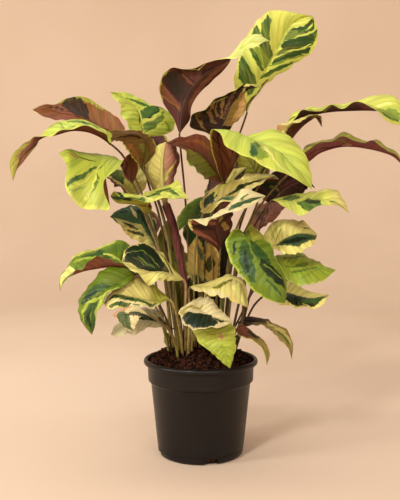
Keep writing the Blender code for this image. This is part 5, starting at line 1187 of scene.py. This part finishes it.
        (line, YELLOW, (-75, 279, 5), (-69, 259, 3)), (line, PALE_COPPER, (-97, 276, 3), (-75, 261, 2)),
        (line, DEEP_GREEN, (-83, 267, 1.4), (-73, 259, 1.4)), (edge, PLUM, 0.25, -1)]),
    "wavy_edge_on": (YELLOW, [(area, FOREST, (-91, 254), (-81, 257), (-57, 252), (-57, 250), (-85, 250)),
        (line, BLACK_GREEN, (-85, 254, 2), (-67, 252, 2)),
        (line, FOREST, (-59, 253, 3), (-47, 257, 6), (-38, 261, 6.5), (-27, 258, 5), (-22, 256, 2)),
        (line, DEEP_GREEN, (-45, 260, 2.4), (-29, 260, 2)),
        (line, PALE_YELLOW, (-67, 251, 2), (-49, 252, 3), (-37, 254, 2)),
        (line, LIME_GREEN, (-33, 261, 1.6), (-23, 261, 2))]),
    "dark_behind_boat": (DEEP_GREEN, [(bands, BLACK_GREEN, 8, 2, 0.6, 0.8, 0.8)]),
    "olive_back": (YELLOW_OLIVE, [(bands, MID_GREEN, 8, 2, 0.6, 0.8, 0.8)]),
    "back_purple_right": (PLUM_COPPER, [(line, PURPLE_BROWN, (45, 245, 5), (61, 231, 5)),
        (line, OLIVE_COPPER, (61, 241, 2), (57, 223, 2)),
        (line, DARK_BROWN, (67, 243, 1.6), (60, 221, 1.6))]),
    "inner_low_left": (OLIVE, [(line, BLACK_GREEN, (-37, 235, 4), (-31, 201, 6)),
        (line, FOREST, (-29, 225, 4), (-23, 189, 5)), (line, OLIVE_COPPER, (-41, 237, 3), (-35, 211, 2)),
        (line, YELLOW_OLIVE, (-31, 195, 4), (-23, 175, 3)),
        (line, BLACK_GREEN, (-41, 171, 6), (-29, 141, 6))]),
    "inner_low_centre": (DARK_OLIVE, [(line, BLACK_GREEN, (-15, 161, 8), (-7, 131, 8)),
        (line, OLIVE, (-3, 165, 3), (3, 121, 3))]),
    "inner_low_right": (DARK_OLIVE, [(line, BLACK_GREEN, (15, 161, 8), (21, 131, 8)),
        (line, OLIVE_COPPER, (25, 171, 3), (31, 141, 3))]),
}
LOWER_LOOKS = {
    "copper_arch": (COPPER, [
        (area, PLUM_COPPER, (-159, 338), (-141, 339), (-111, 331), (-93, 320), (-121, 329), (-149, 332)),
        (line, YELLOW_OLIVE, (-143, 350, 2), (-127, 354, 5), (-109, 350, 4), (-93, 340, 2)),
        (line, BRONZE, (-97, 341, 2), (-83, 323, 2)), (line, BRONZE, (-107, 345, 1.4), (-93, 325, 1.4)),
        (area, DARK_OLIVE, (-139, 347), (-133, 353), (-121, 352), (-113, 341), (-113, 332), (-123, 334),
            (-134, 342)), (line, DARK_BROWN, (-129, 347, 2.5), (-119, 336, 3)),
        (line, DARK_BROWN, (-154, 344, 2), (-149, 344, 2.5)),
        (line, DARK_BROWN, (-145, 344, 2.5), (-138, 341, 2)),
        (line, RED_BROWN, (-159, 342, 3), (-141, 343, 2)),
        (line, PALE_YELLOW, (-169, 342, 6), (-165, 338, 6)),
        (line, DARK_BROWN, (-141, 340, 1), (-111, 331, 1.6), (-93, 321, 1.6))]),
    "far_left_arch": (RED_BROWN, [(edge, OLIVE, 0.25), (wash, YELLOW_OLIVE, (-181, 286), (-189, 275)),
        (line, PURPLE_BROWN, (-165, 309, 3), (-179, 299, 3), (-183, 285, 2)),
        (line, YELLOW_OLIVE, (-189, 295, 3), (-190, 285, 3)),
        (line, COPPER, (-129, 325, 2), (-101, 320, 2))]),
    "upright_stripes": (PURPLE_BROWN, [(edge, LIME, 0.15)]),
    "olive_fold": (OLIVE_BROWN, [(line, RED_BROWN, (-85, 309, 2), (-79, 299, 2.4)),
        (line, COPPER, (-73, 307, 2.4), (-63, 293, 3)), (line, OLIVE, (-59, 305, 4), (-55, 289, 3)),
        (line, DARK_BROWN, (-87, 312, 2), (-75, 315, 3), (-61, 313, 2)),
        (line, LIME, (-96, 319, 5), (-92, 313, 5)), (line, LEAF_GREEN, (-91, 312, 2), (-88, 309, 2)),
        (edge, YELLOW_OLIVE, 0.06), (line, LIME, (-98, 319, 5), (-94, 313, 6)),
        (line, LIME, (-95, 309, 3), (-91, 312, 3))]),
    "half_unfurled": (CREAM, [(wash, OLIVE_CREAM, (-45, 286), (-51, 271)),
        (wash, PINK, (-41, 286), (-35, 286)), (wash, PLUM, (-33, 286), (-23, 288)),
        (line, YELLOW, (-25, 291, 1.2), (-37, 271, 3)), (line, CREAM, (-35, 273, 3), (-43, 261, 4)),
        (line, PLUM, (-20, 305, 2), (-23, 286, 2))]),
    "dark_twist": (PURPLE_BROWN, [
        (area, DARK_BROWN, (-38, 369), (-33, 378), (-21, 380), (-9, 371), (-10, 359), (-17, 346),
            (-25, 353), (-33, 361)), (line, DARK_OLIVE, (-29, 375, 5), (-21, 359, 5)),
        (area, DARK_BROWN, (-17, 379), (3, 381), (11, 389), (27, 391), (11, 379), (-3, 368), (-11, 367)),
        (line, RED_BROWN, (-17, 376, 2), (-10, 367, 2)),
        (line, RED_BROWN, (-40, 363, 5), (-30, 353, 5), (-20, 341, 4)),
        (line, PLUM_COPPER, (28, 390, 4), (15, 379, 5), (1, 365, 6), (-11, 339, 5)),
        (line, COPPER, (-38, 355, 1.4), (-23, 343, 1.6)),
        (line, COPPER, (-17, 349, 1), (-3, 369, 1.4), (25, 388, 1.4)),
        (line, PALE_YELLOW, (-20, 382, 1.3), (-2, 381, 1.3), (6, 390, 1.2), (23, 392, 1.2)),
        (line, YELLOW_OLIVE, (-34, 381, 1.4), (-41, 367, 1.6), (-41, 351, 1.4)),
        (line, DARK_BROWN, (-18, 347, 1.6), (-22, 321, 1.6))]),
    "striped_bronze": (DARK_BROWN, [
        (area, OLIVE_COPPER, (42, 360), (49, 351), (42, 333), (35, 325), (21, 325), (27, 341)),
        (line, BRONZE, (13, 352, 2.4), (11, 343, 3), (14, 328, 1.6)),
        (line, BRONZE, (23, 352, 2.4), (21, 341, 1.4), (20, 333, 1)),
        (line, BRONZE, (1, 344, 2), (3, 333, 2), (5, 321, 1.4)),
        (line, BRONZE, (34, 358, 3), (28, 346, 3), (23, 333, 1.6)),
        (line, OLIVE_COPPER, (-9, 337, 1.6), (-6, 321, 1.4)),
        (line, DARK_OLIVE, (7, 345, 3), (9, 327, 3)), (line, DARK_OLIVE, (-5, 339, 3), (-1, 321, 3)),
        (line, BRONZE, (17, 349, 1), (17, 335, 1)), (line, BRONZE, (-4, 341, 1), (0, 327, 1)),
        (line, PURPLE_BROWN, (32, 356, 2.6), (29, 347, 2.4), (24, 335, 1.4)),
        (line, PALE_YELLOW, (43, 360, 4), (49, 367, 5), (61, 360, 1.5)),
        (line, YELLOW_OLIVE, (-9, 339, 1), (7, 347, 1.2), (27, 354, 1)),
        (line, LIME_GREEN, (45, 347, 2), (44, 333, 2)),
        (line, PALE_COPPER, (45, 358, 4), (41, 345, 7), (33, 331, 6)),
        (line, COPPER, (48, 350, 1.4), (43, 339, 1.4)),
        # Painted sunlight: this light copper stroke brightens the copper patch of the lower face where it
        # turns away from the lamps
        (line, PAINTED_SUNLIT_COPPER, (45, 357, 4), (41, 345, 8), (34, 332, 6)),
        (line, OLIVE_COPPER, (48, 350, 1.4), (43, 339, 1.4))]),
    "purple_arch": (RED_BROWN, [
        (area, OLIVE, (-17, 302), (-9, 301), (3, 293), (15, 277), (7, 273), (-5, 283)),
        (line, LIME_GREEN, (-16, 299, 3), (-9, 285, 3.5), (-1, 275, 3)),
        # Painted highlight: the copper stroke along the top of the lower face stands for light on it
        (line, COPPER, (-15, 310, 2), (7, 303, 3)),
        (line, PURPLE_BROWN, (-38, 308, 3), (-15, 305, 4), (7, 291, 3), (20, 275, 2)),
        (line, OLIVE, (9, 283, 3), (19, 271, 3)), (line, DARK_BROWN, (-37, 309, 2), (-25, 310, 3))]),
    "top_right_crown": (PURPLE_BROWN, [(bands, DARK_BROWN, 9, 2, 0.6, 0.8, 0.8), (edge, OLIVE, 0.12)]),
    "centre_chartreuse": (RED_BROWN, [(area, PLUM_COPPER, (26, 303), (37, 301), (35, 285), (27, 281)),
        (line, DARK_BROWN, (12, 313, 1.5), (19, 305, 2)),
        (line, DARK_BROWN, (31, 301, 1.6), (23, 271, 2)), (bands, PURPLE_BROWN, 12, 2, 0.3, 0.9, 0.9),
        (edge, LIME, 0.06)]),
    "right_high_arch": (PURPLE_BROWN, [(line, YELLOW_OLIVE, (90, 337, 4), (105, 343, 4), (129, 345, 2)),
        (line, DARK_OLIVE, (89, 329, 4), (111, 339, 4)), (line, PLUM, (147, 346, 4), (167, 341, 5)),
        (edge, YELLOW_OLIVE, 0.12, 1)]),
    "right_low_arch": (PLUM, [(line, DARK_BROWN, (105, 293, 2), (129, 303, 1.6), (151, 305, 1.4)),
        (line, OLIVE, (135, 311, 3), (151, 315, 3)), (line, PINK, (141, 305, 1), (151, 306, 1.2)),
        (edge, PURPLE_BROWN, 0.15)]),
    "small_brown_arch": (PURPLE_BROWN, [(line, DARK_BROWN, (84, 323, 5), (99, 329, 4)),
        (line, OLIVE_CREAM, (113, 333, 3), (120, 321, 2)), (edge, CREAM, 0.2)]),
    "dark_underside": (DARK_BROWN, [(line, PURPLE_BROWN, (77, 257, 5), (103, 271, 8)),
        (line, BLACK_GREEN, (69, 267, 6), (75, 253, 5)), (line, RED_BROWN, (75, 253, 1), (102, 270, 1.4)),
        (line, OLIVE, (71, 265, 1.5), (77, 254, 2)), (bands, PURPLE_BROWN, 9, 2, 0.2, 0.9, 0.5)]),
    "olive_back": (OLIVE, [(wash, YELLOW_OLIVE, (54, 276), (39, 291)),
        (bands, YELLOW_OLIVE, 9, 2, 0.3, 0.9, 0.9), (rib, OLIVE_CREAM, 0.03)]),
    # Painted highlights: the plum-copper and olive-copper strokes on boat_leaf's lower face
    "boat_leaf": (PURPLE_BROWN, [(line, PLUM_COPPER, (-7, 228, 4), (15, 227, 4)),
        (line, PLUM_COPPER, (-3, 218, 5), (16, 207, 4)), (line, OLIVE_COPPER, (25, 223, 5), (38, 238, 4)),
        (line, DARK_BROWN, (-9, 225, 2.4), (1, 223, 4), (15, 221, 3)),
        (line, DARK_BROWN, (19, 227, 3), (31, 238, 4)),
        (line, DARK_BROWN, (16, 229, 1.6), (19, 201, 1.6)), (line, CREAM, (-16, 231, 4), (-12, 221, 4)),
        (line, WHITE_CREAM, (-13, 234, 4), (-1, 231, 3), (13, 232, 3), (23, 237, 2), (31, 241, 2))]),
    "inner_cream_left": (OLIVE_COPPER, [(wash, OLIVE, (-5, 189), (-5, 166)),
        (line, BLACK_GREEN, (-4, 215, 3), (2, 205, 3)), (line, SLATE_GREEN, (-4, 204, 4), (2, 194, 4)),
        (area, BLACK_GREEN, (-8, 177), (-11, 165), (-1, 161), (3, 167)),
        (line, DARK_BROWN, (-8, 211, 1.5), (-10, 166, 1.6)),
        (line, OLIVE_CREAM, (-12, 207, 2), (-12, 175, 2))]),
    "inner_cream_right": (OLIVE_COPPER, [(wash, OLIVE, (10, 177), (8, 161)),
        (area, BLACK_GREEN, (3, 185), (10, 195), (14, 187), (7, 178)),
        (line, DARK_BROWN, (3, 201, 2), (3, 166, 1.6)), (line, CREAM, (12, 208, 1.5), (18, 195, 1.5)),
        (line, DARK_BROWN, (3, 215, 4), (7, 208, 2))]),
    "left_chartreuse_flap": (RED_BROWN, [(bands, PURPLE_BROWN, 9, 2, 0.4, 0.9, 0.9),
        (edge, COPPER, 0.08)]),
    "left_mid_arch": (PLUM_COPPER, [(edge, COPPER, 0.3), (rib, RED_BROWN, 0.06)]),
    "wavy_edge_on": (YELLOW_OLIVE, [(line, FOREST, (-91, 252, 4), (-73, 252, 5), (-55, 250, 4)),
        (line, BLACK_GREEN, (-87, 253, 2), (-71, 252, 2)),
        (line, RED_BROWN, (-61, 246, 3), (-49, 246, 3))]),
    "tiny_behind": (LIME_GREEN, [(rib, LEAF_GREEN, 0.1), (edge, YELLOW, 0.2)]),
    "back_purple_right": (PURPLE_BROWN, [(bands, DARK_BROWN, 8, 2, 0.5, 0.9, 0.9), (edge, OLIVE, 0.1)]),
    "dark_behind_boat": (DEEP_GREEN, [(edge, MID_GREEN, 0.1)]),
}
for inner in ("inner_low_left", "inner_low_centre", "inner_low_right"):
    LOWER_LOOKS[inner] = UPPER_LOOKS[inner]


def look_of(spec, grid):
    """The three materials of a leaf: its upper face, its lower face and its stalk."""
    name = spec["name"]
    fine = finer(grid)
    upper, upper_marks, lower, lower_marks = FINISH_LOOKS[spec["finish"]]
    upper, upper_marks = UPPER_LOOKS.get(name, (upper, upper_marks))
    lower, lower_marks = LOWER_LOOKS.get(name, (lower, lower_marks))
    usual_stalk = "olive" if int(spec["root"][0]) % 2 else "brown"
    stalk_look = STALK_LOOKS[STALK_KINDS.get(name, usual_stalk)]
    return (blade_face(name + "_upper", fine, upper, upper_marks, **UPPER_SKIN),
            blade_face(name + "_lower", fine, lower, lower_marks, **LOWER_SKIN),
            stalk_face(name + "_stalk", *stalk_look, lower))


# The pot's outline as (radius, height), from the underside over the rim to the floor inside
POT_OUTLINE = [
    (0.0, 0.0), (0.0560, 0.0), (0.0585, 0.0002), (0.0605, 0.0007), (0.0617, 0.0016), (0.0626, 0.0030),
    (0.0632, 0.0048), (0.0636, 0.0072), (0.0641, 0.0098), (0.06405, 0.0102), (0.0637, 0.0105),
    (0.06385, 0.0109), (0.0642, 0.0111), (0.0738, 0.1062), (0.0744, 0.1072), (0.0766, 0.1092),
    (0.0774, 0.1099), (0.0779, 0.1109), (0.0780, 0.1122), (0.0786, 0.1318), (0.0788, 0.1330),
    (0.0795, 0.1334), (0.0812, 0.1337), (0.0829, 0.1343), (0.0840, 0.1354), (0.0845, 0.1370),
    (0.0845, 0.1386), (0.0841, 0.1399), (0.0834, 0.1409), (0.0824, 0.1416), (0.0812, 0.1420),
    (0.0801, 0.1418), (0.0793, 0.1411), (0.0788, 0.1400), (0.0783, 0.1385), (0.0766, 0.1120),
    (0.0722, 0.1060), (0.0615, 0.0040), (0.0600, 0.0030), (0.0, 0.0030)]
POT_SIDES = 144
POT_SHARP = 35.0
POT_BLACK = (0.004, 0.003, 0.0028)
POT_GREY = (0.007, 0.0055, 0.005)

# The four drainage notches at the foot of the pot
NOTCHES = 4
NOTCH_TURN = 14.0
NOTCH_WIDTH = 0.019
NOTCH_HEIGHT = 0.0088
NOTCH_BELOW = 0.004
NOTCH_INNER = 0.054
NOTCH_OUTER = 0.072
NOTCH_FACES = [(0, 3, 2, 1), (4, 5, 6, 7), (0, 1, 5, 4), (1, 2, 6, 5), (2, 3, 7, 6), (3, 0, 4, 7)]

# The potting mix: a plug with a mounded top, and loose pieces of bark on it
MIX_OUTLINE = [(0.0, 0.0034), (0.0590, 0.0034), (0.0611, 0.006), (0.0718, 0.106), (0.0762, 0.1125),
               (0.0768, 0.133)]
MIX_RADIUS = 0.0772
MIX_EDGE_HEIGHT = 0.135
MIX_RISE = 0.023
MIX_SHOULDER = 3.4
MIX_MARGIN = 0.995
MIX_SIDES = 96
MIX_RINGS = 26
MIX_SHARP = 40.0
MIX_SEED = 5
LOOSE_DEPTH = 0.0005
CRUMBS = (-0.0016, 0.0006)
CHUNKS = 1100
CHUNK_SPREAD = 0.955
CHUNK_SIZES = (0.0010, 0.0038)
CHUNK_WIDTHS = (0.5, 0.9)
CHUNK_HEIGHTS = (0.3, 0.7)
CHUNK_RISES = (-0.0006, 0.0018)
CHUNK_DENTS = (0.65, 1.0)
CHUNK_CORNERS = [(x, y, z) for x in (-1, 1) for y in (-1, 1) for z in (-1, 1)]
CHUNK_FACES = [(0, 1, 3, 2), (4, 6, 7, 5), (0, 4, 5, 1), (2, 3, 7, 6), (0, 2, 6, 4), (1, 5, 7, 3)]
PEAT = (0.007, 0.0028, 0.0016)
BARK = (0.070, 0.022, 0.010)
PALE_BARK = (0.15, 0.065, 0.036)

# The floor, which turns up into a round wall behind
FLOOR_RADIUS = 1.6
COVE_RADIUS = 1.1
COVE_STEPS = 12
WALL_TOP = 3.2
COVE_SIDES = 96
COVE_SHARP = 60.0
PLASTER = (0.70, 0.545, 0.405)
PALE_PLASTER = (0.74, 0.585, 0.445)

# Soft lamps, each with its place, what it points at, its diameter and its power in watts
WARM_WHITE = (1.0, 0.98, 0.95)
WALL_WHITE = (1.0, 0.97, 0.93)
LAMPS = {
    "key_left": ((-1.0, -1.9, 1.7), (0, 0, 0.35), 0.45, 36, WARM_WHITE),
    "side_left": ((-2.1, -0.9, 1.1), (0, 0, 0.3), 0.7, 28, WARM_WHITE),
    "fill_right": ((0.8, -1.9, 1.1), (0, 0, 0.3), 1.3, 12.5, WARM_WHITE),
    "wall_wash": ((-0.9, 0.2, 1.9), (-0.5, 2.6, 0.9), 0.8, 12, WALL_WHITE),
    "top_soft": ((0.0, 0.3, 2.2), (0, 0, 0.3), 1.6, 8, WARM_WHITE),
}
ROOM_COLOUR = (1.0, 0.96, 0.91)
ROOM_STRENGTH = 0.41


def turned(profile, sides):
    """The points and faces of an outline of (radius, height) turned round the upright axis."""
    points, faces, rows = [], [], []
    for radius, height in profile:
        if radius == 0:
            rows.append([len(points)] * sides)
            points.append((0.0, 0.0, height))
            continue
        rows.append(list(range(len(points), len(points) + sides)))
        for k in range(sides):
            angle = 2 * np.pi * k / sides
            points.append((radius * np.cos(angle), radius * np.sin(angle), height))
    for low, high in zip(rows[:-1], rows[1:]):
        for k in range(sides):
            corners = [low[k], low[(k + 1) % sides], high[(k + 1) % sides], high[k]]
            faces.append(tuple(dict.fromkeys(corners)))
    return points, faces


def notch_cutter():
    """The boxes that cut the notches."""
    points, faces = [], []
    for k in range(NOTCHES):
        turn = np.radians(NOTCH_TURN - 90 + 360 / NOTCHES * k)
        outwards = np.array([np.cos(turn), np.sin(turn), 0.0])
        sideways = np.array([-np.sin(turn), np.cos(turn), 0.0]) * NOTCH_WIDTH / 2
        faces += [tuple(len(points) + i for i in face) for face in NOTCH_FACES]
        for z in (-NOTCH_BELOW, NOTCH_HEIGHT):
            for reach, side in ((NOTCH_INNER, -1), (NOTCH_OUTER, -1), (NOTCH_OUTER, 1), (NOTCH_INNER, 1)):
                points.append(outwards * reach + sideways * side + np.array([0, 0, z]))
    return new_object("notch_cutter", points, faces)


def make_pot():
    pot = new_object("nursery_pot", *turned(POT_OUTLINE, POT_SIDES), POT_SHARP)
    cutter = notch_cutter()
    modifier = pot.modifiers.new("notches", "BOOLEAN")
    modifier.operation = "DIFFERENCE"
    modifier.solver = "EXACT"
    modifier.object = cutter
    graph = bpy.context.evaluated_depsgraph_get()
    pot.data = bpy.data.meshes.new_from_object(pot.evaluated_get(graph))
    pot.modifiers.clear()
    bpy.data.objects.remove(cutter, do_unlink=True)
    p = Paint("charcoal_plastic", POT_BLACK)
    p.lay(POT_GREY, p.patches(scale=9.0, low=0.3, high=0.7))
    p.bumps(scale=900.0, distance=0.00008, strength=0.6)
    skin = p.patches(scale=40.0, low=0.2, high=0.8, least=0.34, most=0.42)
    pot.data.materials.clear()
    pot.data.materials.append(p.finish(roughness=skin, gloss=0.24))
    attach(pot, "root")
    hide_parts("pot")


def mix_height(radius):
    return MIX_EDGE_HEIGHT + MIX_RISE * (1 - (radius / MIX_RADIUS) ** MIX_SHOULDER)


def bark_chunk(rng):
    """The eight corners of one piece of bark, somewhere on the mix and turned any way."""
    radius = MIX_RADIUS * CHUNK_SPREAD * np.sqrt(rng.uniform(0.0, 1.0))
    angle = rng.uniform(0, 2 * np.pi)
    length = rng.uniform(*CHUNK_SIZES)
    size = length * np.array([1.0, rng.uniform(*CHUNK_WIDTHS), rng.uniform(*CHUNK_HEIGHTS)])
    turns = np.linalg.qr(rng.normal(size=(3, 3)))[0]
    height = mix_height(radius) + rng.uniform(*CHUNK_RISES)
    centre = np.array([radius * np.cos(angle), radius * np.sin(angle), height])
    return [centre + turns @ (np.array(corner) * size * rng.uniform(*CHUNK_DENTS, 3))
            for corner in CHUNK_CORNERS]


def make_mix():
    rng = np.random.default_rng(MIX_SEED)
    radii = [MIX_RADIUS * MIX_MARGIN * (1 - ring / MIX_RINGS) for ring in range(MIX_RINGS + 1)]
    points, faces = turned(MIX_OUTLINE + [(radius, mix_height(radius)) for radius in radii], MIX_SIDES)
    points = np.array(points)
    loose = points[:, 2] > MIX_EDGE_HEIGHT - LOOSE_DEPTH
    points[loose, 2] += rng.uniform(*CRUMBS, loose.sum())
    points = list(points)
    for _ in range(CHUNKS):
        faces += [tuple(len(points) + i for i in face) for face in CHUNK_FACES]
        points += bark_chunk(rng)
    mix = new_object("bark_mix", points, faces, MIX_SHARP)
    p = Paint("bark_and_peat", PEAT)
    p.lay(BARK, p.patches(scale=230.0, low=0.45, high=0.62, detail=3.0))
    p.lay(PALE_BARK, p.patches(scale=420.0, low=0.66, high=0.74, shift=4.0))
    p.bumps(scale=700.0, distance=0.0008, strength=0.9, detail=3.0, shift=2.0)
    mix.data.materials.append(p.finish(roughness=0.9, gloss=0.1))
    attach(mix, "root")
    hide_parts("potting_mix")


def make_leaves():
    for spec in LEAVES:
        thing, grid = leaf_object(spec)
        for material in look_of(spec, grid):
            thing.data.materials.append(material)
        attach(thing, "root")
        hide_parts(spec["name"])


def make_stage():
    outline = [(0.0, 0.0), (FLOOR_RADIUS, 0.0)]
    for k in range(1, COVE_STEPS + 1):
        turn = np.pi / 2 * k / COVE_STEPS
        outline.append((FLOOR_RADIUS + COVE_RADIUS * np.sin(turn), COVE_RADIUS * (1 - np.cos(turn))))
    outline.append((FLOOR_RADIUS + COVE_RADIUS, WALL_TOP))
    cove = new_object("floor_and_cove", *turned(outline, COVE_SIDES), COVE_SHARP)
    p = Paint("pale_plaster", PLASTER)
    p.lay(PALE_PLASTER, p.patches(scale=1.5, low=0.35, high=0.65))
    cove.data.materials.append(p.finish(roughness=0.85))


def heading_angles(heading):
    """The rotation that turns a lamp, which looks down -Z, along a heading."""
    x, y, z = heading / np.linalg.norm(heading)
    return np.arccos(-z), 0.0, np.arctan2(-x, y)


def make_lights():
    for name, (spot, target, size, power, colour) in LAMPS.items():
        data = bpy.data.lights.new(name, "AREA")
        data.shape = "DISK"
        data.size = size
        data.energy = power
        data.color = colour
        lamp = bpy.data.objects.new(name, data)
        lamp.location = spot
        lamp.rotation_euler = heading_angles(np.subtract(target, spot))
        bpy.context.scene.collection.objects.link(lamp)
    world = bpy.data.worlds.new("soft_room")
    world.use_nodes = True
    background = world.node_tree.nodes["Background"]
    background.inputs["Color"].default_value = (*ROOM_COLOUR, 1.0)
    background.inputs["Strength"].default_value = ROOM_STRENGTH
    bpy.context.scene.world = world
    bpy.context.scene.view_settings.view_transform = "Standard"


def make_camera():
    data = bpy.data.cameras.new("camera")
    data.sensor_fit = "VERTICAL"
    data.sensor_height = SENSOR_HEIGHT
    data.lens = LENS
    camera = bpy.data.objects.new("camera", data)
    camera.location = EYE
    camera.rotation_euler = (np.pi / 2 - EYE_PITCH, 0.0, 0.0)
    bpy.context.scene.collection.objects.link(camera)
    bpy.context.scene.camera = camera


make_camera()
make_pot()
make_mix()
make_leaves()
make_stage()
make_lights()
